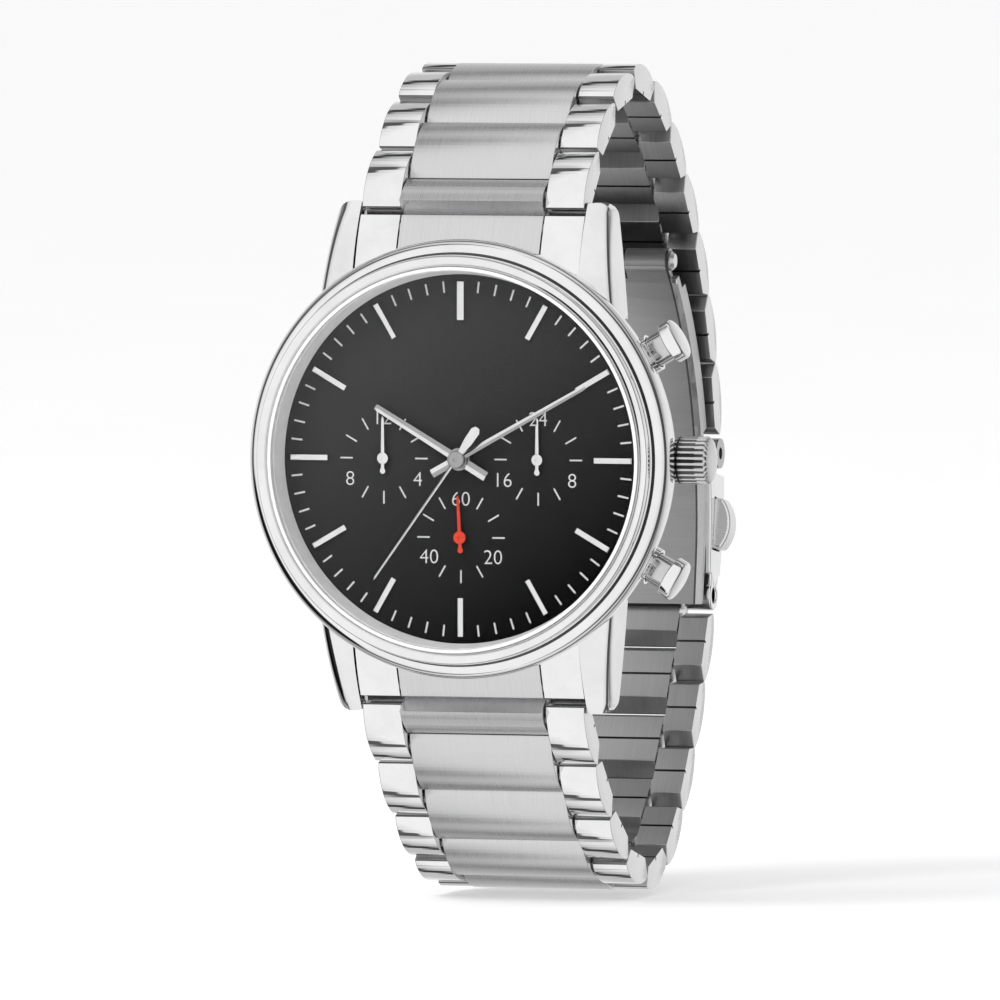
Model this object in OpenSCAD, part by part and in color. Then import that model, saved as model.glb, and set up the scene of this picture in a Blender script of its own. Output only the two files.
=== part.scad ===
// Chronograph wristwatch with a three-row folded-link bracelet and a push-button folding clasp.
// Millimetres. X points to 3 o'clock, Z to 12 o'clock and the dial faces -Y.
// The origin is the centre of the outer face of the case back.

/* [Case] */
// Outer diameter of the bezel
bezel_d = 41; // [40:0.5:42.5]
// How far the bezel stands out over the case wall
bezel_overhang = 0.9; // [0.6:0.1:1.2]
// Height of the top of the middle case above the case back
case_top = 6.3; // [6:0.1:6.4]
// Diameter of the bore that holds the movement
case_bore_d = 32.9; // [32.4:0.1:33.2]
// Diameter of the dial that shows inside the flange
dial_view_d = 34.4; // [34:0.1:34.8]
// Height of the dial face above the case back
dial_h = 7; // [6.9:0.1:7.3]
// Thickness of the dial plate
dial_t = 0.4; // [0.3:0.05:0.5]
// Height of the sloping flange round the dial
flange_h = 2.2; // [2.1:0.1:2.6]
// How far the flange slopes back
flange_slope = 0.35; // [0.2:0.05:0.4]
// Thickness of the crystal
crystal_t = 1.2; // [1:0.1:1.6]
// Thickness of the gasket round the crystal
crystal_gasket_t = 0.3; // [0.2:0.05:0.4]
// How far the crystal stands over the bezel
crystal_proud = 0.2; // [0:0.05:0.3]
// Thickness of the rim of the case back
back_t = 0.95; // [0.8:0.05:1.2]

/* [Lugs] */
// Length over the lug tips
lug_to_lug = 48; // [46.5:0.5:49.5]
// Clear width between the lugs
lug_gap = 22; // [21:0.5:23]
// Width of one lug
lug_w = 2.25; // [2:0.05:2.6]
// Height of the lug front at the tip
lug_tip_h = 2.6; // [2.4:0.1:3]
// Radius of the spring bar body
spring_bar_r = 0.75; // [0.6:0.05:0.9]
// Radius of the spring bar tip
spring_tip_r = 0.4; // [0.35:0.05:0.5]

/* [Crown and pushers] */
// Diameter of the crown
crown_d = 4.5; // [4:0.1:4.8]
// Length of the crown
crown_len = 3.6; // [3.4:0.1:4]
// Number of flutes on the crown
crown_flutes = 24; // [18:1:28]
// Height of the crown axis above the case back
crown_h = 3.7; // [3.5:0.1:3.8]
// Radius of the winding stem
stem_r = 0.45; // [0.4:0.05:0.55]
// Pull-out travel of the crown
crown_pull = 1; // [0.6:0.1:1.1]
// Angle of each pusher from 3 o'clock
pusher_angle = 29.5; // [27:0.5:33]
// Height of the pusher axes above the case back
pusher_h = 3.3; // [3.2:0.1:3.8]
// Diameter of a pusher cap
pusher_d = 4; // [3.9:0.1:4.4]
// Length of a pusher cap
pusher_cap_len = 1.7; // [1.5:0.1:2.5]
// Radius of a pusher stem
pusher_stem_r = 1.5; // [1.3:0.05:1.6]
// Wall of a pusher tube
pusher_wall = 0.24; // [0.2:0.02:0.3]
// Press travel of a pusher
pusher_travel = 0.8; // [0.5:0.1:1]

/* [Hands and markers] */
// Length of the hour hand
hour_len = 9.4; // [8:0.2:10]
// Length of the minute hand
minute_len = 14.2; // [12.6:0.2:15]
// Length of the seconds hand
seconds_len = 13.8; // [12.6:0.2:15]
// Length of a sub-dial hand
sub_len = 3.9; // [3.4:0.1:4.2]
// Distance from the dial centre to the side sub-dials
sub_side = 7.5; // [7.2:0.1:7.8]
// Distance from the dial centre to the lower sub-dial
sub_low = 7.3; // [7:0.1:7.6]
// Outer end of the hour markers from the dial centre
marker_end = 16.6; // [16.2:0.1:16.9]
// Length of an hour marker
marker_len = 3.7; // [3:0.1:4]
// Width of an hour marker
marker_w = 0.6; // [0.4:0.05:0.8]
// Height of an hour marker
marker_h = 0.28; // [0.2:0.02:0.3]

/* [Bracelet] */
// Distance between two link hinges
pitch = 7.2; // [7.1:0.05:7.4]
// Width of the centre row
centre_w = 13.8; // [13:0.1:14.2]
// Gap between the rows
row_gap = 0.15; // [0.12:0.01:0.2]
// Gap between two links of one row
link_gap = 0.2; // [0.16:0.02:0.3]
// Height of a link above its pins
link_top = 1.45; // [1.3:0.05:1.5]
// Depth of a link below its pins
link_bottom = 1.35; // [1.2:0.05:1.4]
// Radius of the outer face of a link
link_arc = 7; // [6:0.5:10]
// How far each end of a link slopes in underneath
link_slope = 1.1; // [1:0.05:1.3]
// Radius of a bracelet pin
pin_r = 0.5; // [0.4:0.02:0.54]
// How much narrower each link is than the one before it, on each side
band_taper = 0.12; // [0:0.01:0.14]

/* [Clasp] */
// Distance between the two pivots of the fold-over arm
arm_len = 23.2; // [22.6:0.1:24]
// Thickness of the arm and of the skin plate
clasp_t = 0.9; // [0.8:0.05:1]
// Half width of the skin plate
plate_half = 9.2; // [9:0.1:9.6]
// Height of the side lips of the skin plate
lip_h = 1.1; // [0.8:0.1:1.3]
// Height of the clasp cover above the pins
cover_top = 2.1; // [1.7:0.1:2.4]
// Length of a push button along the bracelet
button_len = 4.8; // [4:0.1:5.2]
// Thickness of a push button
button_t = 2.4; // [2:0.1:2.6]
// How far a push button stands out of the cover
button_out = 1.6; // [1.3:0.1:1.9]
// Press travel of a push button
button_travel = 0.8; // [0.5:0.1:1]

/* [Fits] */
// Clearance of a pin that turns in its bore
run_clear = 0.08; // [0.06:0.01:0.1]
// Clearance of a pin that is held in its bore
press_clear = 0.03; // [0.02:0.01:0.04]
// Clearance between fitted pieces
fit_clear = 0.1; // [0.06:0.01:0.14]
// Clearance of the pivot that lets the bracelet be opened
open_clear = 0.25; // [0.2:0.01:0.3]

/* [Hidden] */
$fn = 64;
tiny = 0.02;
over = 1;
// Rest directions of the links in the Y-Z plane, in degrees
bend_12 = [46, 34, 13, -15, -35, -45, -52, -60, -68, -77];
bend_6 = [-51, -44, -33, -13, 18, 43, 54, 59, 63];
// Pitch at which these directions close on the clasp
loop_pitch = 7.2;
// Turn of the two halves that keeps the room for the clasp at any other pitch
loop_fall = sines(bend_6) - sines(bend_12);
loop_reach = cosines(bend_12) + cosines(bend_6);
loop_sine = loop_fall * loop_pitch / (pitch * norm([loop_fall, loop_reach]));
loop_turn = pitch == loop_pitch ? 0 : atan2(loop_fall, loop_reach) - asin(loop_sine);
dir_12 = [for (a = bend_12) a + loop_turn];
dir_6 = [for (a = bend_6) a - loop_turn];
// Case
bezel_r = bezel_d / 2;
case_r = bezel_r - bezel_overhang;
bore_r = case_bore_d / 2;
view_r = dial_view_d / 2;
flange_top = dial_h + flange_h;
crystal_low = flange_top + fit_clear;
crystal_high = crystal_low + crystal_t;
flange_in = view_r + flange_slope;
crystal_r = flange_in + fit_clear;
bezel_in = crystal_r + crystal_gasket_t + tiny;
flange_play = 0.05;
flange_out = bezel_in - flange_play;
dial_r = flange_out - fit_clear;
bezel_high = crystal_high - crystal_proud;
bezel_lip_w = 1.3;
bezel_dome_h = 1.6;
bezel_ring_w = 0.5;
bezel_ease = 0.3;
bezel_skirt = 0.7;
bezel_groove = 0.08;
bezel_sink = 0.12;
bezel_chamfer = 0.2;
bezel_step_r = bezel_r - bezel_lip_w;
bezel_step_h = bezel_high - bezel_dome_h;
bezel_ring_r = bezel_in + bezel_ring_w;
crystal_edge = 0.25;
gasket_wall = 0.4;
gasket_low = 0.05;
gasket_h = 0.7;
plug_r = bore_r - gasket_wall - 2 * tiny;
plug_wall = 0.8;
plug_h = 1.05;
back_step = 2.3;
back_r = case_r - back_step;
back_bevel = 0.6;
back_bevel_h = 0.5;
back_recess = 0.1;
case_chamfer = 1.3;
case_lean = 0.2;
case_ease = 0.6;
case_edge = 0.25;
ring_low = back_t + plug_h + fit_clear;
ring_high = dial_h - dial_t;
ring_out = bore_r - fit_clear;
ring_wall = 1.8;
movement_r = ring_out - ring_wall - fit_clear;
back_space = 0.3;
movement_low = back_t + back_space;
battery_r = 4.75;
battery_t = 2;
battery_x = -6;
battery_y = 5;
battery_step = 0.9;
battery_step_h = 0.35;
// Lugs and end links
lug_in = lug_gap / 2;
lug_tip = lug_to_lug / 2;
lug_overlap = 6.6;
lug_root = case_r - lug_overlap;
lug_root_h = case_top - fit_clear;
lug_low = 0.4;
lug_hollow = 0.9;
lug_heel = 0.5;
lug_lean = 6.5;
lug_dome_w = 1.5;
lug_dome_h = 1.2;
lug_corner = 1.5;
lug_out = lug_in + lug_w;
lug_flare = (lug_tip - lug_root) * tan(lug_lean);
lug_drop = lug_root_h - lug_tip_h;
lug_arc = (pow(lug_tip - lug_root, 2) + pow(lug_drop, 2)) / (2 * lug_drop);
lug_centre = [lug_arc - lug_root_h, lug_root];
lug_round = 1.2;
lug_round_z = lug_tip - lug_round;
lug_round_y = lug_centre[0] - sqrt(pow(lug_arc - lug_round, 2) - pow(lug_round_z - lug_root, 2));
lug_round_at = [lug_round_y, lug_round_z];
lug_round_end = acos((lug_round_z - lug_root) / (lug_arc - lug_round));
bar_inset = 2.7;
bar_z = lug_tip - bar_inset;
bar_h = 2.4;
bar_tip_len = 1;
bar_hole = lug_in + bar_tip_len + fit_clear;
hinge_y = -1.7;
hinge_out = 0.4;
hinge_z = lug_tip + hinge_out;
band_half = lug_in - fit_clear;
centre_half = centre_w / 2;
outer_in = centre_half + row_gap;
bore_end = 0.3;
end_sink = 0.4;
end_top = lug_root_h - end_sink;
end_drop = 3;
end_low = 0.9;
end_short = 0.6;
end_past = 0.2;
knuckle_gap = 0.35;
knuckle_r = pitch / 4 - knuckle_gap;
neck_in = 0.6;
end_plane = -pitch / 4 - link_gap;
end_nose = [[-1.2, 0.4], [-0.25, -0.26], [0, -0.55]];
piece_len = pitch - link_gap;
link_edge = 0.15;
tongue_clear = 0.22;
tongue_drop = 0.15;
tongue_t = 0.3;
tongue_end = -0.3;
tongue_top = -0.6 * link_bottom;
link_nose = 0.3;
nose_angle = 48;
nose_run = (2 * link_top - link_nose) / tan(nose_angle);
seam_w = 0.25;
seam_d = 0.35;
// Crown and pushers
crown_gap = 0.35;
crown_x = case_r + crown_gap;
crown_r = crown_d / 2;
crown_edge = 0.25;
crown_shoulder = 0.55;
crown_dome_in = 1.2;
crown_dome_h = 0.15;
flute_share = 0.62;
flute_out = 0.4;
flute_r = PI * crown_r / crown_flutes * flute_share;
stem_clear = 0.15;
tube_wall = 0.35;
tube_bore = stem_r + stem_clear;
tube_r = tube_bore + tube_wall;
seal_wall = 0.3;
seal_slack = 0.07;
crown_cavity_r = tube_r + seal_wall + seal_slack;
crown_end = 0.95;
cavity_end = crown_x + crown_len - crown_end;
cavity_space = 0.4;
tube_end = cavity_end - cavity_space;
tube_in = bore_r + 2 * fit_clear;
seal_x = crown_x + 2 * fit_clear;
seal_len = 0.6;
stem_hold = 2.4;
stem_in = movement_r - stem_hold;
stem_grip = 0.2;
pusher_edge = 0.15;
pusher_shoulder = 0.5;
pusher_flat_in = 0.9;
pusher_dome = 0.1;
pusher_tube_r = pusher_stem_r + run_clear + pusher_wall;
pusher_inset = 0.5;
pusher_tube_in = bore_r + pusher_inset;
pusher_tube_stand = 0.7;
pusher_tube_out = case_r + pusher_tube_stand;
pusher_stem_in = pusher_tube_in + pusher_travel + pusher_edge;
pusher_cap_in = pusher_tube_out + pusher_travel + pusher_inset;
// Hands
hand_t = 0.2;
sub_lift = 0.38;
hour_lift = 0.75;
hand_step = 0.42;
sub_hand_h = dial_h + sub_lift;
hour_hand_h = dial_h + hour_lift;
minute_hand_h = hour_hand_h + hand_step;
seconds_hand_h = minute_hand_h + hand_step;
hour_rest = 300.8;
hour_tail = 3.1;
hour_w = 0.9;
hour_tip_w = 0.55;
hour_hub_r = 1.05;
minute_rest = 61;
minute_tail = 2.8;
minute_w = 0.8;
minute_tip_w = 0.45;
minute_hub_r = 0.9;
hub_t = 0.14;
seconds_rest = 215.5;
seconds_w = 0.28;
seconds_tip_w = 0.2;
seconds_t = 0.16;
paddle_in = 0.5;
paddle_end = 3.67;
paddle_w = 0.95;
cap_r = 0.81;
cap_h = 0.36;
cap_wall_h = 0.22;
cap_top_r = 0.6;
dot_r = 0.16;
dot_d = 0.1;
sub_w = 0.34;
sub_tail = 1.3;
sub_tail_r = 0.25;
sub_hub_t = 0.2;
side_hub_r = 0.54;
low_hub_r = 0.59;
low_rest = 357;
sub_places = [[-sub_side, 0], [sub_side, 0], [0, -sub_low]];
marker_bevel = 0.3;
top_marker = 1.25;
hour_tube_r = 0.75;
hour_bore_r = 0.56;
minute_tube_r = 0.46;
minute_bore_r = 0.28;
seconds_pin_r = 0.2;
sub_pin_r = 0.2;
arbor_low = 3.6;
arbor_step = 1.2;
hour_arbor_low = arbor_low + arbor_step;
hole_clear = 0.15;
// Clasp
clasp_half = link_half(len(dir_12) - 1);
p12 = hinge(dir_12, hinge_z, len(dir_12));
p6 = hinge(dir_6, -hinge_z, len(dir_6));
cheek_foot = [3.2, 0.45];
arm_dir = 125.7;
p_fold = p12 + arm_len * [cos(arm_dir), sin(arm_dir)];
clasp_gap = norm(p12 - p6);
clasp_mid = (p12 + p6) / 2;
clasp_dir = atan2(p12[1] - p6[1], p12[0] - p6[0]);
cover_len = clasp_gap - 2 * (pitch / 4 + link_gap);
fold_r = 1.2;
fold_pin_r = 0.6;
fold_space = 0.5;
tube_half = 4.2;
head_r = 0.95;
head_t = 0.5;
head_bevel = 0.3;
fold_half = plate_half - head_t - fit_clear;
lip_t = 0.8;
lip_in = plate_half - lip_t;
arm_half = lip_in - 2 * fit_clear;
arm_taper = 3;
arm_depth = pitch / 2;
cheek_len = 1.4;
arm_start = 4.4;
arm_shift = 0.75;
arm_bow = 1.3;
plate_bow = 3.9;
plate_drop = 2.2;
plate_lift = 0.8;
cover_low = -cover_len / 2;
cover_arc = 30;
button_depth = 2.2;
button_swell = 0.9;
button_arc = (pow(button_len / 2, 2) + pow(button_swell, 2)) / (2 * button_swell);
button_in = clasp_half - button_depth;

// Place of the hinge before link k, counted from the case
function hinge(dirs, z0, k) =
  k == 0 ? [hinge_y, z0] : hinge(dirs, z0, k - 1) + pitch * [cos(dirs[k - 1]), sin(dirs[k - 1])];

// Half width of link k, counted from the case
function link_half(k) = band_half - (k + 1) * band_taper;

// Half length of the pins inside link k
function pin_half(k) = link_half(k) - bore_end - fit_clear;

// Unit vector at an angle
function unit(a) = [cos(a), sin(a)];

// Point at share t on a bow from a to b that rises by sag to the left of its chord
function bow(a, b, sag, t) =
  let (d = (b - a) / norm(b - a)) a + t * (b - a) + 4 * sag * t * (1 - t) * [-d[1], d[0]];

// Band of constant thickness between two offsets from a bow, for shares t0 to t1
module bow_band(a, b, sag, low, high, t0, t1) {
  d = (b - a) / norm(b - a);
  n = [-d[1], d[0]];
  steps = 14;
  upper = [for (i = [0 : steps]) bow(a, b, sag, t0 + (t1 - t0) * i / steps) + high * n];
  lower = [for (i = [steps : -1 : 0]) bow(a, b, sag, t0 + (t1 - t0) * i / steps) + low * n];
  polygon(concat(upper, lower));
}

// Head frame: X to 3 o'clock, Y to 12 o'clock, Z up from the case back
module head() rotate([90, 0, 0]) children();

// Side frame: a drawing in the Y-Z plane, extruded along X from x0 to x1
module across(x0, x1) rotate([90, 0, 90]) translate([0, 0, x0]) linear_extrude(x1 - x0) children();

// The same on both sides
module both(x0, x1) {
  across(x0, x1) children();
  across(-x1, -x0) children();
}

// Closed solid through rings of points
module loft(rings) {
  m = len(rings[0]);
  k = len(rings);
  pts = [for (r = rings) for (q = r) q];
  walls = [for (i = [0 : k - 2]) for (j = [0 : m - 1])
    for (f = [[i * m + j, (i + 1) * m + j, (i + 1) * m + (j + 1) % m],
      [i * m + j, (i + 1) * m + (j + 1) % m, i * m + (j + 1) % m]]) f];
  low = [[for (j = [0 : m - 1]) j]];
  high = [[for (j = [m - 1 : -1 : 0]) (k - 1) * m + j]];
  polyhedron(pts, concat(walls, low, high));
}

// Ring about the head axis
module washer(r0, r1, h0, h1) head() translate([0, 0, h0]) difference() {
  cylinder(r = r1, h = h1 - h0);
  translate([0, 0, -over]) cylinder(r = r0, h = h1 - h0 + 2 * over);
}

// Cylinder along a radius of the head, at an angle from 3 o'clock and a height
module radial(a, h, r, r0, r1)
  head() rotate([0, 0, a]) translate([r0, 0, h]) rotate([0, 90, 0]) cylinder(r = r, h = r1 - r0);

// Height of the lug underside at distance z from the middle
function lug_back(z) = lug_low + lug_hollow * pow((lug_tip - lug_heel - z) / (lug_tip - lug_root), 2);

// Point on the rounded tip of the lug side, at an angle from the tip towards the front
function lug_nose(a) = lug_round_at + lug_round * [-sin(a), cos(a)];

// Side drawing of a lug; its front is left open for the arc to trim
module lug_profile() {
  steps = 8;
  underside = [for (i = [0 : steps])
    let (z = lug_root + (lug_tip - lug_heel - lug_root) * i / steps) [-lug_back(z), z]];
  nose = [for (i = [0 : 4]) lug_nose(lug_round_end * i / 6)];
  past = lug_nose(lug_round_end * 4 / 6) - 3 * unit(lug_round_end * 0.75);
  polygon(concat(underside, [[-lug_low - lug_heel, lug_tip]], nose,
    [past, [-lug_root_h - over, lug_root]]));
}

// Section of a lug, as distance from the centre of its arched front and distance from the middle
function lug_section() = concat([[0, lug_in - lug_flare - over], [lug_arc, lug_in - lug_flare - over]],
  [for (i = [0 : 6]) let (a = 15 * i)
    [lug_arc - lug_dome_h * (1 - cos(a)), lug_out - lug_dome_w * (1 - sin(a))]],
  [[0, lug_out]]);

// Lean of the outer side of a lug, which widens from the tip towards the case
module lug_frame() translate([lug_out, 0, lug_tip]) rotate([0, -lug_lean, 0])
  translate([-lug_out, 0, -lug_tip]) children();

// Lug with an arched and domed front, a leaning outer side and a rounded outer corner at the tip
module lug() intersection() {
  lug_frame() difference() {
    rotate([90, 0, 90]) translate([lug_centre[0], lug_centre[1], 0]) rotate_extrude() polygon(lug_section());
    head() translate([lug_out - lug_corner, lug_tip - lug_corner, -over])
      linear_extrude(case_top + 2 * over) difference() {
        union() {
          square(lug_corner + over);
          translate([-lug_w - over, lug_corner]) square(lug_w + lug_corner + 2 * over);
        }
        circle(lug_corner);
      }
  }
  across(lug_in, lug_out + lug_flare + over) lug_profile();
}

module case_middle() color("silver") difference() {
  union() {
    head() rotate_extrude() polygon([[bore_r, back_t], [case_r - case_chamfer, back_t],
      [case_r - case_lean, back_t + case_chamfer], [case_r, back_t + case_chamfer + case_ease],
      [case_r, case_top - case_ease], [case_r - case_edge, case_top], [bore_r, case_top]]);
    for (sx = [0, 1]) for (sz = [0, 1]) mirror([sx, 0, 0]) mirror([0, 0, sz]) lug();
  }
  for (sz = [-1, 1]) translate([-bar_hole, -bar_h, sz * bar_z]) rotate([0, 90, 0])
    cylinder(r = spring_tip_r + run_clear, h = 2 * bar_hole);
  radial(0, crown_h, tube_r + tiny, bore_r - over, case_r + over);
  for (s = [-1, 1])
    radial(s * pusher_angle, pusher_h, pusher_tube_r + tiny, bore_r - over, case_r + over);
}

module case_back() color("silver") head() rotate_extrude() polygon([[0, 0], [back_r - back_bevel, 0],
  [back_r, back_bevel_h], [back_r, back_t - tiny], [plug_r, back_t - tiny], [plug_r, back_t + plug_h],
  [plug_r - plug_wall, back_t + plug_h], [plug_r - plug_wall, back_t - back_recess],
  [0, back_t - back_recess]]);

module back_gasket() color("dimgray") 
  washer(plug_r + tiny, bore_r - tiny, back_t + gasket_low, back_t + gasket_low + gasket_h);

module movement_ring() color("white") difference() {
  washer(ring_out - ring_wall, ring_out, ring_low, ring_high);
  radial(0, crown_h, stem_r + hole_clear, movement_r - over, ring_out + over);
}

module movement() color("goldenrod") difference() {
  washer(minute_tube_r + hole_clear, movement_r, movement_low, ring_high - fit_clear);
  head() translate([0, 0, hour_arbor_low - hole_clear]) cylinder(r = hour_tube_r + hole_clear, h = dial_h);
  head() translate([battery_x, battery_y, movement_low - over])
    cylinder(r = battery_r + fit_clear, h = battery_t + over + fit_clear);
  for (q = sub_places)
    head() translate([q[0], q[1], arbor_low - fit_clear]) cylinder(r = sub_pin_r + hole_clear, h = dial_h);
  radial(0, crown_h, stem_r + hole_clear, stem_in - 2 * hole_clear, movement_r + over);
}

module battery() color("lightgray") head() translate([battery_x, battery_y, movement_low + tiny])
  rotate_extrude() polygon([[0, 0], [battery_r, 0], [battery_r, battery_t - battery_step_h],
    [battery_r - battery_step, battery_t - battery_step_h], [battery_r - battery_step, battery_t],
    [0, battery_t]]);

module dial() color("black") difference() {
  washer(hour_tube_r + hole_clear, dial_r, dial_h - dial_t, dial_h);
  for (q = sub_places)
    head() translate([q[0], q[1], 0]) cylinder(r = sub_pin_r + hole_clear, h = 2 * dial_h);
}

// Rectangle of points for a bar of width w and length l, drawn in by e, at height h
function bar_ring(w, l, e, h) =
  [[e - w / 2, e, h], [w / 2 - e, e, h], [w / 2 - e, l - e, h], [e - w / 2, l - e, h]];

// One bevelled bar marker at an angle from 12 o'clock
module marker(a, w) head() rotate([0, 0, -a]) translate([0, marker_end - marker_len, dial_h])
  loft([bar_ring(w, marker_len, 0, 0), bar_ring(w, marker_len, 0, marker_h / 2),
    bar_ring(w, marker_len, marker_bevel * w, marker_h)]);

module hour_markers() color("white") for (i = [0 : 11])
  marker(30 * i, i == 0 ? top_marker * marker_w : marker_w);

module flange() color("gray") head() rotate_extrude() polygon([[view_r, dial_h], [flange_out, dial_h],
  [flange_out, flange_top], [flange_in, flange_top]]);

module crystal() color("lightblue") head() rotate_extrude() polygon([[0, crystal_low],
  [crystal_r, crystal_low], [crystal_r, crystal_high - crystal_edge],
  [crystal_r - crystal_edge, crystal_high], [0, crystal_high]]);

module crystal_gasket() color("ivory")
  washer(crystal_r + tiny / 2, bezel_in - tiny / 2, crystal_low, bezel_high - bezel_sink - bezel_chamfer);

// Bezel section: a rounded flange, a step, a domed shoulder and a flat inner ring
module bezel() color("gainsboro") {
  steps = 8;
  low = case_top + bezel_skirt;
  dome_w = bezel_step_r - bezel_groove - bezel_ring_r;
  head() rotate_extrude($fn = 96) polygon(concat(
    [[bezel_in, case_top], [bezel_r - bezel_ease, case_top], [bezel_r, case_top + bezel_ease]],
    [for (i = [0 : steps]) let (t = 90 * i / steps)
      [bezel_step_r + bezel_lip_w * cos(t), low + (bezel_step_h - low) * sin(t)]],
    [for (i = [0 : steps]) let (t = 90 * i / steps)
      [bezel_ring_r + dome_w * cos(t), bezel_step_h + bezel_dome_h * sin(t)]],
    [[bezel_ring_r - bezel_sink, bezel_high - bezel_sink],
      [bezel_in + bezel_chamfer, bezel_high - bezel_sink],
      [bezel_in, bezel_high - bezel_sink - bezel_chamfer]]));
}

// Ring of points across a flat hand at distance y from its axis, of width w and thickness t
function flat_ring(y, w, t) = [[-w / 2, y, 0], [w / 2, y, 0], [w / 2, y, t], [-w / 2, y, t]];

// The same across a hand with a ridge along its middle
function ridge_ring(y, w, t) =
  [[-w / 2, y, 0], [w / 2, y, 0], [w / 2, y, 0.35 * t], [0, y, t], [-w / 2, y, 0.35 * t]];

// Ridged baton from a tail to a tip, in the head frame along its own Y
module baton(tail, tip, w0, w1, t) loft([for (q = [[tip, 0.4 * w1], [tip - 0.35, w1], [0, w0], [-tail, w0]])
  ridge_ring(q[0], q[1], t)]);

// Hand at an angle from 12 o'clock, with its bottom at height h
module at_dial(a, h, x = 0, y = 0) head() translate([x, y, h]) rotate([0, 0, -a]) children();

// Tube or pin under a hand whose bottom is at height h, from height low to a little above that bottom
module arbor(r, h, low, up) translate([0, 0, low - h]) cylinder(r = r, h = h - low + up);

module hour_hand() color("silver") at_dial(hour_rest, hour_hand_h) difference() {
  union() {
    baton(hour_tail, hour_len, hour_w, hour_tip_w, hand_t);
    cylinder(r = hour_hub_r, h = hub_t);
    arbor(hour_tube_r, hour_hand_h, hour_arbor_low, hand_t);
  }
  translate([0, 0, -dial_h]) cylinder(r = hour_bore_r, h = 2 * dial_h);
}

module minute_hand() color("silver") at_dial(minute_rest, minute_hand_h) difference() {
  union() {
    baton(minute_tail, minute_len, minute_w, minute_tip_w, hand_t);
    cylinder(r = minute_hub_r, h = hub_t);
    arbor(minute_tube_r, minute_hand_h, arbor_low, hand_t);
  }
  translate([0, 0, -dial_h]) cylinder(r = minute_bore_r, h = 2 * dial_h);
}

// Seconds hand with a paddle on its tail and a cap over the tubes
module seconds_hand() color("silver") at_dial(seconds_rest, seconds_hand_h) difference() {
  union() {
    baton(paddle_in, seconds_len, seconds_w, seconds_tip_w, seconds_t);
    loft([for (q = [[paddle_in, 0.4], [0.55 * paddle_end, 1], [0.9 * paddle_end, 1], [paddle_end, 0.5]])
      flat_ring(-q[0], q[1] * paddle_w, seconds_t)]);
    rotate_extrude() polygon([[0, 0], [cap_r, 0], [cap_r, cap_wall_h], [cap_top_r, cap_h], [0, cap_h]]);
    arbor(seconds_pin_r, seconds_hand_h, arbor_low, hub_t);
  }
  translate([0, 0, cap_h - dot_d]) cylinder(r = dot_r, h = over);
}

// Needle with a round hub and a short rounded tail
module sub_hand(a, x, y, hub) at_dial(a, sub_hand_h, x, y) difference() {
  union() {
    loft([for (q = [[sub_len, 0.3], [0.92 * sub_len, 0.7], [0, 1], [-sub_tail, 0.9]])
      flat_ring(q[0], q[1] * sub_w, hub_t)]);
    translate([0, -sub_tail, 0]) cylinder(r = sub_tail_r, h = hub_t);
    cylinder(r = hub, h = sub_hub_t);
    arbor(sub_pin_r, sub_hand_h, arbor_low, hub_t);
  }
  translate([0, 0, sub_hub_t - dot_d]) cylinder(r = dot_r, h = over);
}

module hour_counter_hand() color("silver") sub_hand(0, -sub_side, 0, side_hub_r);

module day_hand() color("silver") sub_hand(0, sub_side, 0, side_hub_r);

module minute_counter_hand() color("orangered") sub_hand(low_rest, 0, -sub_low, low_hub_r);

// Frame along the crown axis, from the middle of the case outwards
module crown_frame() head() translate([0, 0, crown_h]) rotate([0, 90, 0]) children();

// Fluted crown with a cavity for its tube, and the winding stem
module crown() color("silver") crown_frame() {
  difference() {
    translate([0, 0, crown_x]) rotate_extrude() polygon([[0, 0], [crown_r - crown_edge, 0],
      [crown_r, crown_edge], [crown_r, crown_len - crown_shoulder],
      [crown_r - crown_shoulder + crown_dome_h, crown_len - crown_dome_h],
      [crown_r - crown_dome_in, crown_len], [0, crown_len]]);
    translate([0, 0, crown_x - over]) cylinder(r = crown_cavity_r, h = cavity_end - crown_x + over);
    for (i = [0 : crown_flutes - 1]) rotate([0, 0, 360 * (i + 0.5) / crown_flutes])
      translate([crown_r + flute_out * flute_r, 0, crown_x - over])
        cylinder(r = flute_r, h = crown_len - crown_shoulder + over, $fn = 24);
  }
  translate([0, 0, stem_in]) cylinder(r = stem_r, h = cavity_end - stem_in + stem_grip);
}

module crown_seal() color("dimgray") crown_frame() translate([0, 0, seal_x]) difference() {
  cylinder(r = tube_r + tiny + seal_wall, h = seal_len);
  translate([0, 0, -over]) cylinder(r = tube_r + tiny, h = seal_len + 2 * over);
}

module crown_tube() color("silver") crown_frame() translate([0, 0, tube_in]) difference() {
  cylinder(r = tube_r, h = tube_end - tube_in);
  translate([0, 0, -over]) cylinder(r = tube_bore, h = tube_end - tube_in + 2 * over);
}

// One pusher: domed cap and stem
module pusher(a) {
  r = pusher_d / 2;
  top = pusher_cap_in + pusher_cap_len;
  head() rotate([0, 0, a]) translate([0, 0, pusher_h]) rotate([0, 90, 0]) rotate_extrude() polygon([
    [0, pusher_stem_in], [pusher_stem_r - pusher_edge, pusher_stem_in],
    [pusher_stem_r, pusher_stem_in + pusher_edge], [pusher_stem_r, pusher_cap_in],
    [r - pusher_edge, pusher_cap_in], [r, pusher_cap_in + pusher_edge], [r, top - pusher_shoulder],
    [r - 0.4 * pusher_shoulder, top - 0.4 * pusher_shoulder], [r - pusher_flat_in, top],
    [0, top + pusher_dome]]);
}

module pusher_top() color("silver") pusher(pusher_angle);

module pusher_bottom() color("silver") pusher(-pusher_angle);

module pusher_tubes() color("silver") for (s = [-1, 1]) difference() {
  radial(s * pusher_angle, pusher_h, pusher_tube_r, pusher_tube_in, pusher_tube_out);
  radial(s * pusher_angle, pusher_h, pusher_stem_r + run_clear, pusher_tube_in - over,
    pusher_tube_out + over);
}

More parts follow.
